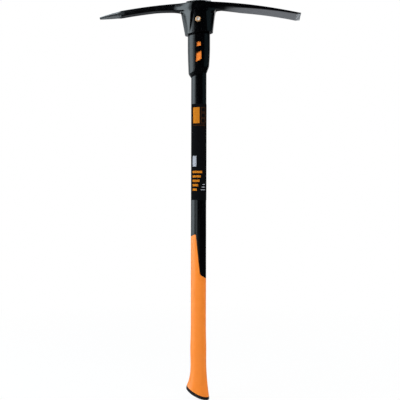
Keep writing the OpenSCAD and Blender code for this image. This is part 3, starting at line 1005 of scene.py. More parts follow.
    def ground_share(self, x: Array) -> Array:
        """Share of their full depth that the point's facets have."""
        return ease((-x - self.point_x) / self.point_len / self.point_start)

    def point_half(self, x: Array) -> Array:
        """Half width of the bar where it narrows to the tip."""
        return mix(self.spike_end_w, self.tip_w, unit((-x - self.point_x) / self.point_len)) / 2.0

    def edge(self, x: Array) -> Array:
        """Radius of the upper edges, which grows over the boss."""
        grown = self.edge_r + self.boss_r * ease((self.spike_in - np.abs(x)) / self.flare)
        return np.minimum(grown, self.arm_t(x) / 2.0)

    def foot(self, x: Array) -> Array:
        """Radius of the lower edges, at most a quarter of the arm."""
        return np.minimum(self.foot_r, self.arm_t(x) / 4.0)

    def half_depth(self, x: Array, z: Array) -> Array:
        """Half depth of the whole head, with rounded upper and lower edges.

        Args:
            x: Places along the head.
            z: Heights.

        Returns:
            Half depths.
        """
        arm = self.arm_y(x, z)
        y = np.where(np.abs(x) < self.spike_in + self.flare, np.maximum(self.eye_y(x, z, arm), arm), arm)
        for r, gap in (
            (self.edge(x), self.top_z(x) - z),
            (self.foot(x), z - self.low_z(x)),
        ):
            near = unit(1.0 - gap / r)
            y = y - np.minimum(r, y / 3.0) * (1.0 - np.sqrt(1.0 - near * near))
        return y

    def sections(self) -> Array:
        """Work out the sections from the spike's tip to the blade's edge.

        Each section runs up the back from its lower to its upper level, across the top, down the
        front and across the bottom. Stations and levels lie closest where the shape turns most.

        Returns:
            Rows of points.
        """
        spans = (
            (-self.spike_reach, -self.point_x, 60),
            (-self.point_x, -self.spike_in - self.flare, 80),
            (-self.spike_in - self.flare, -self.spike_in - self.spike_fillet, 8),
            (-self.spike_in - self.spike_fillet, -self.spike_in, 16),
            (-self.spike_in, -self.rim_reach, 20),
            (-self.rim_reach, self.rim_reach, 210),
            (self.rim_reach, self.blade_in, 14),
            (self.blade_in, self.blade_in + self.blade_fillet, 12),
            (self.blade_in + self.blade_fillet, self.bevel_x, 110),
            (self.bevel_x, self.blade_reach, 8),
        )
        x = np.concatenate([np.linspace(a, b, n, endpoint=False) for a, b, n in spans] + [[self.blade_reach]])
        x = x[:, None]
        low, top, thick = self.low_z(x), self.top_z(x), self.arm_t(x)
        split = self.arm_top(x) - (1.0 - self.split_share) * thick
        split = np.maximum(split, mix(low, top, self.split_least))
        upper, lower = self.edge(x), self.foot(x)
        turn = np.linspace(0.0, np.pi / 2.0, self.turn_rows)[None]
        z = np.concatenate(
            [
                low + lower * (1.0 - np.cos(turn[:, :-1])),
                mix(low + lower, split, np.linspace(0.0, 1.0, self.lower_rows, endpoint=False)[None]),
                mix(split, top - upper, np.linspace(0.0, 1.0, self.upper_rows, endpoint=False)[None]),
                top - upper * (1.0 - np.sin(turn)),
            ],
            axis=1,
        )
        y = self.half_depth(x, z)
        strip = np.linspace(1.0, -1.0, self.strip_rows)[None, 1:-1]
        y = np.concatenate([y, y[:, -1:] * strip, -y[:, ::-1], -y[:, :1] * strip], axis=1)
        flat = np.ones_like(strip)
        z = np.concatenate([z, z[:, -1:] * flat, z[:, ::-1], z[:, :1] * flat], axis=1)
        return np.stack([np.broadcast_to(x, y.shape), y, z], axis=-1)

    def build(self) -> None:
        """Build the head, cut its eye and its cross holes, and dress it."""
        head = surface("forged_head", self.sections(), Ends.POLES)
        core = np.stack([ring(self.hole_a, self.hole_b, level(z)) for z in self.core_span])
        cutters = [
            surface("eye_core", core, Ends.POLES),
            self.drill("front_spot", self.spot_d, back=-self.seat_y),
            self.drill("back_spot", self.spot_d, front=self.seat_y),
            self.drill("shank_hole", self.shank_hole_d, back=0.0),
            self.drill("barrel_hole", self.barrel_hole_d, front=0.0),
        ]
        cut(head, cutters)
        self.mark_shares(head)
        self.seat(head, "pick_head", "coated_steel", POWDER_COAT.material())

    def mark_shares(self, head: Piece) -> None:
        """Note in attributes how far the head is ground to bare steel and where its coat carries painted
        shade.

        The point is ground where its depth is that of the ground diamond and not of the bar, fully
        above its ridge and partly below. The bevel is the underside past its start. Painted shade takes the
        coat's gloss off faces that look down beside the eye, where the eye shades them, and the gloss comes
        back along the blade.

        Args:
            head: Finished head.
        """
        mesh = head.data
        flat = np.empty(3 * len(mesh.vertices))
        mesh.vertices.foreach_get("co", flat)
        x, y, z = flat.reshape(-1, 3).T / MM
        mesh.vertex_normals.foreach_get("vector", flat)
        fall = -flat.reshape(-1, 3)[:, 2]
        top, thick = self.arm_top(x), self.arm_t(x)
        point = unit((1.0 - self.ground_y(x, z) / self.point_half(x)) / self.facet_fade)
        crown = z > top - (1.0 - self.point_ridge) * thick
        point = point * np.where(crown, 1.0, self.facet_bare) * self.ground_share(x) ** 2
        under = (z < top - self.bevel_under * thick) & (np.abs(y) < self.bevel_inset * self.arm_y(x, z))
        bevel = self.bevel_bare * (under & (x > self.bevel_x))
        # painted shade: the coat's gloss is taken off faces that look down beside the eye, where the eye
        # shades them
        least, most = self.shade_tilt
        beside = ease((x - self.hole_a) / self.shade_in) - ease((x - self.shade_x) / self.shade_run)
        for name, share in (
            ("bare", np.where(x < -self.point_x, point, bevel)),
            ("painted_shade", beside * unit((fall - least) / (most - least))),
        ):
            mesh.attributes.new(name, "FLOAT", "POINT").data.foreach_set("value", share)


@dataclass
class CrossBolt(SubAssembly):
    """Bolt through the eye and the sleeve nut that takes it at the back."""

    head_r: float = 6.3
    head_h: float = 3.6
    rim_h: float = 1.1
    face_r: float = 4.4
    mouth_r: float = 3.3
    socket_r: float = 2.5
    socket_depth: float = 2.2
    shank_r: float = 4.0
    shank_stop: float = 2.0
    barrel_r: float = 5.1
    barrel_len: float = 20.0
    bore_r: float = 4.1
    dome_rows: int = 12
    drill_share: float = 0.4
    socket_edge: float = 0.5
    rim_edge: float = 0.25
    shank_edge: float = 0.8
    barrel_edge: float = 0.4

    def button(self) -> tuple[list[tuple[float, float]], list[int]]:
        """Profile of a button head from the floor of its socket out to its seat.

        The dome is a quarter ellipse from the face's edge to the rim; depths count outwards from
        the seat.

        Returns:
            Radius and depth of each row, and the rows that are hexagons.
        """
        floor = self.head_h - self.socket_depth
        turn = np.linspace(np.pi / 2.0, 0.0, self.dome_rows)
        radius = mix(self.face_r, self.head_r, np.cos(turn))
        height = mix(self.rim_h, self.head_h, np.sin(turn))
        socket = [
            (self.drill_share * self.socket_r, floor - self.socket_edge),
            (self.socket_r, floor),
            (self.socket_r, self.head_h - self.socket_edge),
            (self.mouth_r, self.head_h),
        ]
        rim = [(self.head_r, self.rim_edge), (self.head_r - self.rim_edge, 0.0)]
        return [*socket, *zip(radius, height), *rim], [1, 2]

    def build(self) -> None:
        """Build the bolt and the nut and dress them."""
        zinc = YELLOW_ZINC.material()
        button, flats = self.button()
        end = 2.0 * self.seat_y - self.shank_stop
        shank = [
            (self.shank_r, 0.0),
            (self.shank_r, self.shank_edge - end),
            (self.shank_r - self.shank_edge, -end),
        ]
        front = [(r, -self.seat_y - h) for r, h in button + shank]
        bolt = turned("cross_bolt", front, self.bolt_drop, flats)
        self.seat(bolt, "head_bolt", "zinc_steel", zinc)
        barrel = [
            (self.barrel_r, 0.0),
            (self.barrel_r, self.barrel_edge - self.barrel_len),
            (self.barrel_r - self.barrel_edge, -self.barrel_len),
            (self.bore_r, -self.barrel_len),
            (self.bore_r, -self.shank_stop / 2.0),
        ]
        back = [(r, self.seat_y + h) for r, h in button + barrel]
        nut = turned("barrel_nut", back, self.bolt_drop, flats)
        self.seat(nut, "sleeve_nut", "zinc_steel", zinc)


@dataclass
class Neck(SubAssembly):
    """Top cap, shock sleeve and the windowed collar below the eye."""

    plug_len: float = 14.0
    sleeve_a: float = 20.8
    sleeve_b: float = 16.8
    sleeve_drop: float = 127.0
    cap_h: float = 3.4
    cap_lip: float = 2.4
    cap_skirt: float = 0.22
    dome_round: float = 0.42
    dome_apex: float = 89.0
    dome_rows: int = 28
    collar_a: float = 25.5
    collar_b: float = 19.2
    neck_chamfer: float = 1.2
    chamfer_run: float = 4.0
    taper_drop: float = 90.0
    taper: float = 2.0
    taper_share: float = 0.4
    rim_drop: float = 137.0
    rim_slant: float = 21.0
    chamfer_h: float = 11.5
    foot_lip: float = 0.6
    foot_share: float = 0.8
    window_x: float = 1.2
    window_narrow: float = 0.86
    window_r: float = 0.4
    window_top: tuple[float, float, float, float] = (10.4, 10.0, 80.4, 0.15)
    window_low: tuple[float, float, float, float] = (13.2, 20.0, 108.0, 0.532)
    cap_edges: tuple[float, ...] = (0.5, 0.0, 0.8, 0.0)
    collar_edges: tuple[float, ...] = (0.6, 1.5, 8.0, 8.0, 2.2, 0.4, 0.0, 0.0, 0.0, 0.3)

    def cap_rows(self) -> Array:
        """Rows of the cap from the dome's apex down to the plug's end.

        The dome's rings shrink by cos(t)^p while they rise by sin(t).

        Returns:
            Rows of points.
        """
        a, b = self.sleeve_a + self.cap_lip, self.sleeve_b + self.cap_lip
        rings, radii = [], [0.0] * self.dome_rows
        for t in np.radians(np.linspace(self.dome_apex, 0.0, self.dome_rows)):
            f = math.cos(t) ** self.dome_round
            z = self.eye_rise + self.cap_h * mix(self.cap_skirt, 1.0, math.sin(t))
            rings.append(ring(f * a, f * b, level(z)))
        rings += [
            ring(a, b, level(self.eye_rise)),
            ring(self.plug_a, self.plug_b, level(self.eye_rise)),
            ring(self.plug_a, self.plug_b, level(self.eye_rise - self.plug_len)),
            ring(self.plug_a / 2.0, self.plug_b / 2.0, level(self.eye_rise - self.plug_len)),
        ]
        return rounded(rings, [*radii, *self.cap_edges], Ends.POLES)

    def sleeve_rows(self) -> Array:
        """Rows of the sleeve: down its outside and up its bore.

        Returns:
            Rows of points.
        """
        a, b = self.shaft_a + self.play, self.shaft_b + self.play
        levels = (self.eye_rise, *HOLE_BAND, -self.sleeve_drop)
        outside = [ring(self.sleeve_a, self.sleeve_b, level(z)) for z in levels]
        inside = [ring(a, b, level(z)) for z in levels[::-1]]
        return np.stack(outside + inside)

    def collar_rows(self) -> Array:
        """Rows of the collar: down its outside past the slanted rim, and up its stepped bore.

        Returns:
            Rows of points.
        """
        eye = -math.tan(math.radians(self.eye_slant))
        rim = -math.tan(math.radians(self.rim_slant))
        a, b, share = self.collar_a, self.collar_b, self.taper_share
        top = -self.eye_drop - self.play
        foot = level(-self.rim_drop - self.chamfer_h, self.foot_share * rim)
        step = -self.sleeve_drop - self.play
        bore_a, bore_b = self.sleeve_a + self.play, self.sleeve_b + self.play
        hole_a, hole_b = self.shaft_a + self.play, self.shaft_b + self.play
        middle = -(self.taper_drop + self.rim_drop) / 2.0
        rings = [
            ring(a - self.neck_chamfer, b - self.neck_chamfer, level(top, eye)),
            ring(a, b, level(-self.eye_drop - self.chamfer_run * self.neck_chamfer, eye)),
            ring(a, b, level(-self.taper_drop)),
            ring(a - share * self.taper, b - share * self.taper / 2.0, level(middle, share * rim)),
            ring(a - self.taper, b - self.taper / 2.0, level(-self.rim_drop, rim)),
            ring(self.shaft_a + self.foot_lip, self.shaft_b + self.foot_lip, foot),
            ring(hole_a, hole_b, foot),
            ring(hole_a, hole_b, level(step)),
            ring(bore_a, bore_b, level(step)),
            ring(bore_a, bore_b, level(top, eye)),
        ]
        return rounded(rings, self.collar_edges, Ends.LOOP, steps=8)

    def window_core(self, name: str, sizes: tuple[float, float, float, float]) -> Piece:
        """Make the four sided core that leaves a window in the front and in the back.

        Each corner is the curve (1-f)^2 p + 2 f (1-f) c + f^2 q between points a little before and
        after it.

        Args:
            name: Name of the core.
            sizes: Width, height, drop and slope of the window.

        Returns:
            The core.
        """
        w, h, drop, slope = sizes
        half = np.array([-self.window_narrow, self.window_narrow, 1.0, -1.0]) * w / 2.0
        rise = np.array([h, h, -h, -h]) / 2.0 + slope * w / 2.0 * np.array([-1.0, 1.0, 1.0, -1.0])
        corner = np.stack([self.window_x + half, rise - drop], axis=-1)
        ways = [np.roll(corner, k, axis=0) - corner for k in (1, -1)]
        p, q = [corner + way / np.linalg.norm(way, axis=1, keepdims=True) * self.window_r for way in ways]
        f = np.linspace(0.0, 1.0, 6)[None, :, None]
        c = corner[:, None]
        outline = ((1 - f) ** 2 * p[:, None] + 2 * f * (1 - f) * c + f**2 * q[:, None]).reshape(-1, 2)
        rows = [np.insert(outline, 1, y, axis=1) for y in (-CUT_REACH, CUT_REACH)]
        return surface(name, np.stack(rows), Ends.POLES)

    def build(self) -> None:
        """Build the cap, the sleeve and the collar and dress them."""
        nylon = MOULDED_NYLON.material()
        cap = surface("domed_cap", self.cap_rows(), Ends.POLES)
        self.seat(cap, "top_cap", "black_moulding", nylon)
        sleeve = surface("sleeve_tube", self.sleeve_rows(), Ends.LOOP)
        cut(sleeve, [self.drill("bush_hole", self.bush_hole_d)])
        self.seat(sleeve, "shock_sleeve", "orange_elastomer", SLEEVE_RUBBER.material())
        collar = surface("windowed_collar", self.collar_rows(), Ends.LOOP)
        windows = (("upper_core", self.window_top), ("lower_core", self.window_low))
        cut(collar, [self.window_core(name, sizes) for name, sizes in windows])
        self.seat(collar, "neck_collar", "black_moulding", nylon)


@dataclass
class Shell(SubAssembly):
    """Composite shell and the printed film wrapped round it.

    Each printed block gives its left and right edges round the film from its front, its upper and
    lower edges down from the film's top, and its ink.
    """

    bore_a: float = 12.5
    bore_b: float = 8.5
    tenon_a: float = 14.9
    tenon_b: float = 10.9
    drop: float = 872.3
    ring_z: float = -200.0
    mouth_edge: float = 0.6
    line_edge: float = 0.4
    tongue_x: float = -5.25
    tongue_z: float = -510.0
    tongue_rise: float = 0.5
    notch_x: float = 4.375
    notch_z: float = -602.0
    notch_fall: float = 0.69
    tongue_r: float = 2.5
    notch_r: float = 9.0
    crown_x: float = 46.56
    crown_z: float = -771.54
    crown_r: float = 111.0
    label_drop: float = 215.0
    label_len: float = 218.0
    label_t: float = 0.3
    label_gap: float = 12.0
    label_play: float = 0.05
    arc_steps: int = 7201
    around_steps: int = 150
    down_steps: int = 40
    blocks: tuple[tuple[float, float, float, float, Ink], ...] = (
        (-12.0, 3.0, 8.0, 44.0, Ink.ORANGE),
        (6.0, 17.0, 8.0, 19.0, Ink.UMBER),
        (7.0, 16.0, 9.0, 18.0, Ink.BLACK),
        (6.0, 17.0, 20.5, 31.5, Ink.UMBER),
        (7.0, 16.0, 21.5, 30.5, Ink.BLACK),
        (6.0, 17.0, 33.0, 44.0, Ink.UMBER),
        (7.0, 16.0, 34.0, 43.0, Ink.BLACK),
        (-12.0, 17.0, 48.0, 49.2, Ink.UMBER),
        (-13.0, -4.0, 118.0, 142.0, Ink.GREY),
        (-13.0, 9.0, 152.0, 157.0, Ink.ORANGE),
        (-13.0, 6.0, 162.0, 167.0, Ink.ORANGE),
        (-13.0, 3.0, 172.0, 177.0, Ink.ORANGE),
        (-13.0, 0.0, 182.0, 187.0, Ink.ORANGE),
        (-13.0, -3.0, 192.0, 197.0, Ink.ORANGE),
        (10.0, 16.0, 182.0, 183.6, Ink.GREY),
        (8.0, 16.0, 188.0, 189.6, Ink.GREY),
        (6.0, 16.0, 194.0, 195.6, Ink.GREY),
    )

    def grip_line(self, x: Array) -> Array:
        """Height of the line where the grip begins: up the tongue, down its long edge, along the notch.

        Args:
            x: Places across the shell.

        Returns:
            Heights.
        """
        steep = (self.notch_z - self.tongue_z) / (self.notch_x - self.tongue_x)
        middle = (self.tongue_x + self.notch_x) / 2.0
        tip = corner_fillet(x, (self.tongue_x, self.tongue_z), self.tongue_rise, steep, self.tongue_r)
        notch = corner_fillet(x, (self.notch_x, self.notch_z), steep, -self.notch_fall, self.notch_r)
        return np.where(x < middle, tip, notch)

    def crown(self, x: Array, grow: float = 0.0) -> Array:
        """Height of the crowned butt: the lower half of a circle in the front view."""
        return self.crown_z - np.sqrt((self.crown_r + grow) ** 2 - (x - self.crown_x) ** 2)

    def tube_rows(self) -> Array:
        """Rows of the shell: down its outside, in at the grip's line, down the tenon, up the bore.

        Returns:
            Rows of points.
        """
        levels = (self.eye_rise, *HOLE_BAND, self.ring_z)
        outside = [ring(self.shaft_a, self.shaft_b, level(z)) for z in levels]
        inside = [ring(self.bore_a, self.bore_b, level(z)) for z in levels[::-1]]
        rings = outside + [
            ring(self.shaft_a, self.shaft_b, self.grip_line),
            ring(self.tenon_a, self.tenon_b, self.grip_line),
            ring(self.tenon_a, self.tenon_b, self.crown),
            ring(self.bore_a, self.bore_b, self.crown),
        ]
        edges = [0.0] * len(rings + inside)
        edges[0], edges[len(outside)] = self.mouth_edge, self.line_edge
        return rounded(rings + inside, edges, Ends.LOOP)

    def film(self) -> Piece:
        """Build the film as a thin strip round the shell, with its inks as a colour attribute.

        Each row is the strip's thin upright section at one angle. The rows and the section's points
        fall on the edges of the printed blocks, so every face has one ink.

        Returns:
            The film.
        """
        fine = np.linspace(0.0, 2.0 * np.pi, self.arc_steps)
        r = oval_radius(self.shaft_a, self.shaft_b, fine)
        x, y = r * np.cos(fine), r * np.sin(fine)
        arc = np.concatenate([[0.0], np.cumsum(np.hypot(np.diff(x), np.diff(y)))])
        arc -= np.interp(FRONT, fine, arc)
        bare = np.flatnonzero((x < 0) & (np.abs(y) < self.label_gap / 2.0))
        ends = [arc[bare[0]] + arc[-1] - arc[0], arc[bare[-1]]]
        edges = np.array([b[:4] for b in self.blocks])
        around = np.linspace(ends[1], ends[0], self.around_steps)
        around = np.unique(np.concatenate([around, edges[:, :2].ravel()]))
        down = np.linspace(0.0, self.label_len, self.down_steps)
        down = np.unique(np.concatenate([down, edges[:, 2:].ravel()]))
        whole = np.concatenate([arc, arc[1:] + arc[-1] - arc[0]])
        t = np.interp(around, whole, np.concatenate([fine, fine[1:] + 2.0 * np.pi]))[:, None]
        z = -self.label_drop - np.concatenate([down, down[::-1]])[None]
        grow = self.label_play + np.repeat([self.label_t, 0.0], len(down))[None]
        radius = oval_radius(self.shaft_a + grow, self.shaft_b + grow, t)
        z = np.broadcast_to(z, radius.shape)
        rows = np.stack([radius * np.cos(t), radius * np.sin(t), z], axis=-1)
        film = surface("wrap_film", rows, Ends.POLES)
        u = (around[:-1] + around[1:])[:, None] / 2.0
        v = (down[:-1] + down[1:])[None] / 2.0
        shade = np.empty((len(u), rows.shape[1], 4))
        shade[:] = linear(INKS[Ink.BLACK])
        for left, right, top, bottom, ink in self.blocks:
            inside = (u > left) & (u < right) & (v > top) & (v < bottom)
            shade[:, : len(down) - 1][inside] = linear(INKS[ink])
        layer = film.data.attributes.new("ink", "FLOAT_COLOR", "CORNER")
        colours = np.empty((len(film.data.loops), 4))
        colours[:] = linear(INKS[Ink.BLACK])
        colours[: shade.shape[0] * shade.shape[1] * 4] = np.repeat(shade.reshape(-1, 4), 4, axis=0)
        layer.data.foreach_set("color", colours.ravel())
        return film

    def build(self) -> None:
        """Build the shell and the film and dress them."""
        tube = surface("shell_tube", self.tube_rows(), Ends.LOOP)
        cut(tube, [self.drill("bush_hole", self.bush_hole_d)])
        self.seat(tube, "shaft", "black_composite", COMPOSITE_SKIN.material())
        self.seat(self.film(), "label_film", "printed_film", FILM.material())


@dataclass
class Butt(SubAssembly):
    """Soft grip with its flared end and the cap under it."""

    shell: Shell = field(default_factory=Shell)
    slant: float = 24.8
    level_h: float = 100.0
    flare_spike: float = 10.6
    flare_blade: float = 7.9
    flare_depth: float = 5.5
    flare_len: float = 110.0
    flare_power: float = 2.6
    flare_early: float = 1.62
    swell_h: float = 99.0
    swell_rise: float = 0.8
    swell_half: float = 26.0
    waist: float = 0.2
    waist_run: float = 60.0
    notch_len: float = 270.3
    cap_t: float = 7.2
    cap_round: float = 2.4
    sole_shares: tuple[float, ...] = (0.8, 0.6, 0.4, 0.2, 0.05)
    plug_len: float = 40.0
    plug_edge: float = 0.8
    joint_edge: float = 0.6
    lip_edge: float = 0.5
    joint_rounds: int = 40
    joint_gain: float = 0.7
    diamond: float = 3.4
    grip_rows: int = 300

    def skin(self, s: Array) -> Array:
        """Points of the grip's outside at heights above the butt joint.

        The oval grows by a palm swell, a bell curve, shrinks by a shallow waist, and flares towards
        the butt by a power of the height. Its rings tilt to the butt's slant as they come down.

        Args:
            s: Heights, as rows by columns.

        Returns:
            Points, as rows by columns by 3.
        """
        t = angles()[None]
        swell = self.swell_rise * np.exp(-(((s - self.swell_h) / self.swell_half) ** 2))
        thin = ease((s - self.swell_h) / self.waist_run) * ease((self.notch_len - s) / self.waist_run)
        swell = swell - self.waist * thin
        wide = unit(1.0 - s / self.flare_len) ** self.flare_power
        early = unit(1.0 - self.flare_early * s / self.flare_len) ** self.flare_power
        side = np.where(np.cos(t) < 0.0, self.flare_spike * early, self.flare_blade * wide)
        deep = self.flare_depth * wide
        r = oval_radius(self.shaft_a + swell + side, self.shaft_b + swell + deep, t)
        x = r * np.cos(t)
        tilt = math.tan(math.radians(self.slant)) * unit(1.0 - s / self.level_h)
        return np.stack([x, r * np.sin(t), s - self.shell.drop - tilt * x], axis=-1)

    def joint(self, grow: float) -> Array:
        """Heights at which the grip's outside meets a crowned butt that is grown downwards.

        The height is corrected by the distance that is left until both agree.

        Args:
            grow: Growth of the crown's radius.

        Returns:
            Heights, as one row.
        """
        s = np.zeros((1, COLUMNS))
        for _ in range(self.joint_rounds):
            p = self.skin(s)
            s = s - self.joint_gain * (p[..., 2] - self.shell.crown(p[..., 0], grow))
        return s

    def grip(self) -> Piece:
        """Build the grip: down its outside from the line on the shell, and up over the tenon.

        Returns:
            The grip.
        """
        shell = self.shell
        x = ring(self.shaft_a, self.shaft_b, level(0.0))[:, 0]
        top = (shell.grip_line(x) - self.play + shell.drop)[None]
        run = np.linspace(0.0, 1.0, self.grip_rows)[:, None]
        heights = mix(top, self.joint(0.0), run)
        outside = self.skin(heights)
        a, b = shell.tenon_a + self.play, shell.tenon_b + self.play
        upper = ring(a, b, lambda x: shell.grip_line(x) - self.play)
        lower = ring(a, b, shell.crown)
        rings = [*outside, lower, upper]
        radii = [self.lip_edge] + [0.0] * (self.grip_rows - 2) + [self.lip_edge, 0.0, 0.0]
        rows = rounded(rings, radii, Ends.LOOP)
        closed = np.concatenate([outside[0, :, :2], outside[0, :1, :2]])
        arc = np.concatenate([[0.0], np.cumsum(np.linalg.norm(np.diff(closed, axis=0), axis=1))])
        count = round(arc[-1] / self.diamond)
        u = np.broadcast_to(arc / arc[-1] * count, (len(rows), COLUMNS + 1))
        v = np.concatenate([rows[..., 2], rows[:, :1, 2]], axis=1) / self.diamond
        return surface("soft_grip", rows, Ends.LOOP, np.stack([u, v], axis=-1))

    def cap(self) -> Piece:
        """Build the cap from its plug's end, out under the grip, round its edge and over its sole.

        Returns:
            The cap.
        """
        shell = self.shell
        end = level(self.plug_len - shell.drop)
        upper = self.skin(self.joint(self.play))[0]
        lower = self.skin(self.joint(self.cap_t))[0]
        sole = []
        for f in self.sole_shares:
            flat = lower * np.array([f, f, 0.0])
            flat[:, 2] = shell.crown(flat[:, 0], self.cap_t)
            sole.append(flat)
        rings = [
            ring(self.plug_a / 2.0, self.plug_b / 2.0, end),
            ring(self.plug_a, self.plug_b, end),
            ring(self.plug_a, self.plug_b, lambda x: shell.crown(x, self.play)),
            upper,
            lower,
            *sole,
        ]
        radii = [0.0, self.plug_edge, 0.0, self.joint_edge, self.cap_round] + [0.0] * len(sole)
        return surface("butt_sole", rounded(rings, radii, Ends.POLES, steps=8), Ends.POLES)

    def build(self) -> None:
        """Build the grip and the cap and dress them."""
        self.seat(self.grip(), "grip", "orange_grip", SOFT_RUBBER.material())
        self.seat(self.cap(), "butt_cap", "black_moulding", MOULDED_NYLON.material())


@dataclass
class InnerLayers:
    """Pieces inside the handle, whose CAD solids are right as they are."""

    nodes: dict[str, Piece]

    def build(self) -> None:
        """Dress the CAD solids of the inner layers."""
        for node, finish in (
            ("bolt_bush", TURNED_STEEL),
            ("damping_layer", SLEEVE_RUBBER),
            ("core_rod", DRAWN_ROD),
        ):
            data = self.nodes[node].data
            data.materials.clear()
            data.materials.append(finish.material())
            LOG.info("%s keeps its CAD solid", node)


# Studio


@dataclass(frozen=True)
class Panel:
    """A soft light panel: where it hangs, where it points, its size and its brightness.

    A panel that isn't mirrored lights the pieces without a highlight of its own in the gloss.
    """

    name: str
    at: tuple[float, float, float]
    towards: tuple[float, float, float]
    size: tuple[float, float]
    radiance: float
    mirrored: bool = True
    tint: str = WHITE

    def hang(self) -> None:
        """Hang the panel, with its power worked out as radiance times pi times its area."""
        light = bpy.data.lights.new(self.name, "AREA")
        light.shape = "RECTANGLE"
        light.size, light.size_y = self.size
        light.energy = self.radiance * math.pi * self.size[0] * self.size[1]
        light.color = linear(self.tint)[:3]
        lamp = bpy.data.objects.new(self.name, light)
        lamp.location = self.at
        way = Vector(self.towards) - Vector(self.at)
        lamp.rotation_euler = way.to_track_quat("-Z", "Y").to_euler()
        lamp.visible_camera = False
        lamp.visible_glossy = self.mirrored
        bpy.context.scene.collection.objects.link(lamp)


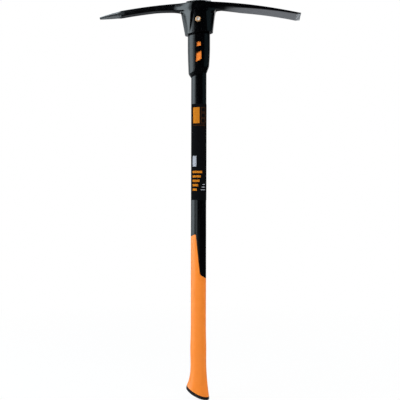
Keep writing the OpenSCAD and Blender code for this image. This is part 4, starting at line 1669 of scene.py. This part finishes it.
@dataclass
class Studio:
    """Pale floor, soft panels, dim room and the camera of the photograph."""

    floor_z: float
    floor_low: tuple[float, float] = (-4.0, -4.0)
    floor_high: tuple[float, float] = (4.0, 9.0)
    floor_colour: str = "#f2f2f2"
    floor_glow: float = 0.93
    room: str = "#0c0c0d"
    backdrop: float = 0.7
    floor_fade: tuple[float, float] = (0.5, 1.4)
    mirror_tint: str = "#f0f6ff"
    mirror_side: tuple[float, float] = (-0.35, -0.15)
    mirror_front: tuple[float, float] = (-0.3, 0.0)
    mirror_slant: float = -5.0
    side_share: float = 0.15
    front_glow: float = 0.02
    sky_lift: float = 0.45
    sky_span: tuple[float, float] = (0.8, 0.95)
    panels: tuple[Panel, ...] = field(
        default_factory=lambda: (
            Panel("edge_panel", (-0.906, -1.319, -0.1), (0.0, 0.0, -0.3), (0.42, 1.9), 1.2, tint="#e9f8ff"),
            Panel("left_panel", (-1.45, -0.676, -0.1), (0.0, 0.0, -0.3), (1.325, 1.9), 3.7, tint="#e9f8ff"),
            Panel("rear_panel", (-1.522, 0.494, -0.1), (0.0, 0.0, -0.3), (1.16, 1.9), 1.3, tint="#e9f8ff"),
            Panel("fill_panel", (1.13, -3.09, 1.8), (0.0, 0.0, -0.45), (3.0, 3.0), 3.45, mirrored=False),
            Panel("top_panel", (-0.2, 1.3, 1.7), (0.0, 0.0, -0.2), (2.6, 1.8), 1.6, tint="#e9f8ff"),
            Panel("rim_panel", (1.8, 0.6, 0.2), (0.0, 0.0, -0.5), (1.2, 1.8), 3.6, mirrored=False),
            Panel("right_panel", (1.9, -0.5, 0.3), (0.0, 0.0, -0.4), (2.6, 1.6), 0.17, tint="#c2f1ff"),
        )
    )
    distance: float = 1.5
    azimuth: float = 5.0
    eye_z: float = -0.433
    side_step: float = 0.0032
    roll: float = 0.124
    lens: float = 59.085
    sensor: float = 36.0

    def lay_floor(self) -> None:
        """Lay the floor under the part and mark it as the backdrop."""
        x0, y0 = self.floor_low
        x1, y1 = self.floor_high
        corners = [(x, y, self.floor_z) for x, y in ((x0, y0), (x1, y0), (x1, y1), (x0, y1))]
        mesh = bpy.data.meshes.new("floor")
        mesh.from_pydata(corners, [], [(0, 1, 2, 3)])
        floor = bpy.data.objects.new("floor", mesh)
        bpy.context.scene.collection.objects.link(floor)
        mesh.materials.append(self.floor_finish())
        floor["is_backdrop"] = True

    def floor_finish(self) -> Material:
        """Make a pale floor that is white to the camera, keeps the shadow and is graded in reflections.

        Most of its light is a glow, a little less of it near the handle, where the shadow falls. In
        reflections the glow fades towards the camera, sooner on the blade's side, and towards the
        spike's side.

        Returns:
            The material.
        """
        material = bpy.data.materials.new("pale_floor")
        tree = blank(material)
        path = add_node(tree, "LightPath").outputs
        camera = seen = path["Is Camera Ray"]
        for ray in MIRROR_RAYS:
            seen = add_node(tree, "Math", (seen, path[ray]), operation="MAXIMUM").outputs[0]
        place = add_node(tree, "TexCoord").outputs["Object"]
        flat = add_node(tree, "VectorMath", (place, (1.0, 1.0, 0.0)), operation="MULTIPLY").outputs[0]
        away = add_node(tree, "VectorMath", (flat,), operation="LENGTH").outputs["Value"]
        white = add_node(tree, "MapRange", (away, *self.floor_fade, self.floor_glow, 1.0)).outputs[0]
        share = add_node(tree, "Math", (seen, white), operation="MULTIPLY").outputs[0]
        x, y, _ = add_node(tree, "SeparateXYZ", (place,)).outputs
        aside = add_node(tree, "Math", (x, 0.0), operation="MAXIMUM").outputs[0]
        depth = add_node(tree, "Math", (aside, self.mirror_slant, y), operation="MULTIPLY_ADD").outputs[0]
        dim = self.side_share * self.backdrop
        far = add_node(tree, "MapRange", (x, *self.mirror_side, dim, self.backdrop)).outputs[0]
        behind = add_node(tree, "MapRange", (depth, *self.mirror_front, self.front_glow, far)).outputs[0]
        strength = add_node(tree, "Math", (behind, camera), operation="MAXIMUM").outputs[0]
        tones = {0: camera, 6: linear(self.mirror_tint), 7: linear(WHITE)}
        tone = add_node(tree, "Mix", tones, data_type="RGBA").outputs[2]
        diffuse = add_node(tree, "BsdfDiffuse", {"Color": linear(self.floor_colour)}).outputs[0]
        glow = add_node(tree, "Emission", {"Color": tone, "Strength": strength}).outputs[0]
        blend = add_node(tree, "MixShader", (share, diffuse, glow)).outputs[0]
        add_node(tree, "OutputMaterial", {"Surface": blend})
        return material

    def dim_room(self) -> None:
        """Fill the room with a dim even light, white to the camera and in reflections from behind.

        A reflection is pale by its direction's part towards the back, to which its rise adds a share.
        """
        world = bpy.data.worlds.new("studio")
        tree = blank(world)
        path = add_node(tree, "LightPath").outputs
        way = add_node(tree, "TexCoord").outputs["Generated"]
        _, back, rise = add_node(tree, "SeparateXYZ", (way,)).outputs
        above = add_node(tree, "Math", (rise, 0.0), operation="MAXIMUM").outputs[0]
        ahead = add_node(tree, "Math", (above, self.sky_lift, back), operation="MULTIPLY_ADD").outputs[0]
        pale = add_node(tree, "MapRange", (ahead, *self.sky_span, 0.0, self.backdrop)).outputs[0]
        rays = [path[ray] for ray in MIRROR_RAYS]
        mirrored = add_node(tree, "Math", rays, operation="MAXIMUM").outputs[0]
        shares = (pale, mirrored, path["Is Camera Ray"])
        seen = add_node(tree, "Math", shares, operation="MULTIPLY_ADD").outputs[0]
        dim = add_node(tree, "Background", {"Color": linear(self.room)}).outputs[0]
        white = add_node(tree, "Background", {"Color": linear(WHITE)}).outputs[0]
        blend = add_node(tree, "MixShader", (seen, dim, white)).outputs[0]
        add_node(tree, "OutputWorld", {"Surface": blend})
        bpy.context.scene.world = world

    def place_camera(self) -> None:
        """Place the level camera a little towards the blade's side, with the photograph's slight roll."""
        turn, roll = math.radians(self.azimuth), math.radians(self.roll)
        right = Vector((math.cos(turn), math.sin(turn), 0.0))
        ahead = Vector((-math.sin(turn), math.cos(turn), 0.0))
        up = Vector((0.0, 0.0, 1.0))
        side = right * math.cos(roll) + up * math.sin(roll)
        head = up * math.cos(roll) - right * math.sin(roll)
        frame = Matrix((side, head, -ahead)).transposed().to_4x4()
        frame.translation = right * self.side_step - ahead * self.distance + up * self.eye_z
        data = bpy.data.cameras.new("photo_camera")
        data.lens, data.sensor_width, data.sensor_fit = self.lens, self.sensor, "HORIZONTAL"
        camera = bpy.data.objects.new("photo_camera", data)
        camera.matrix_world = frame
        bpy.context.scene.collection.objects.link(camera)
        bpy.context.scene.camera = camera

    def build(self) -> None:
        """Set up the floor, the panels, the room, the view and the camera."""
        self.lay_floor()
        for panel in self.panels:
            panel.hang()
        self.dim_room()
        self.place_camera()
        bpy.context.scene.view_settings.view_transform = "Standard"


def plain(box: Any) -> list[list[float]]:
    """Turn a box's two corners into plain lists."""
    return [[float(v) for v in corner] for corner in box]


def main() -> None:
    """Load the frame, build every sub-assembly and the studio, with the floor under the frame's box."""
    logging.basicConfig(level=logging.INFO, format="%(name)s: %(message)s")
    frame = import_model()
    cad_box = plain(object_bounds())
    PickHead().build()
    CrossBolt().build()
    Neck().build()
    shell = Shell()
    shell.build()
    Butt(shell=shell).build()
    InnerLayers(frame["nodes"]).build()
    Studio(floor_z=cad_box[0][2] - FLOOR_GAP).build()


if __name__ == "__main__":
    main()
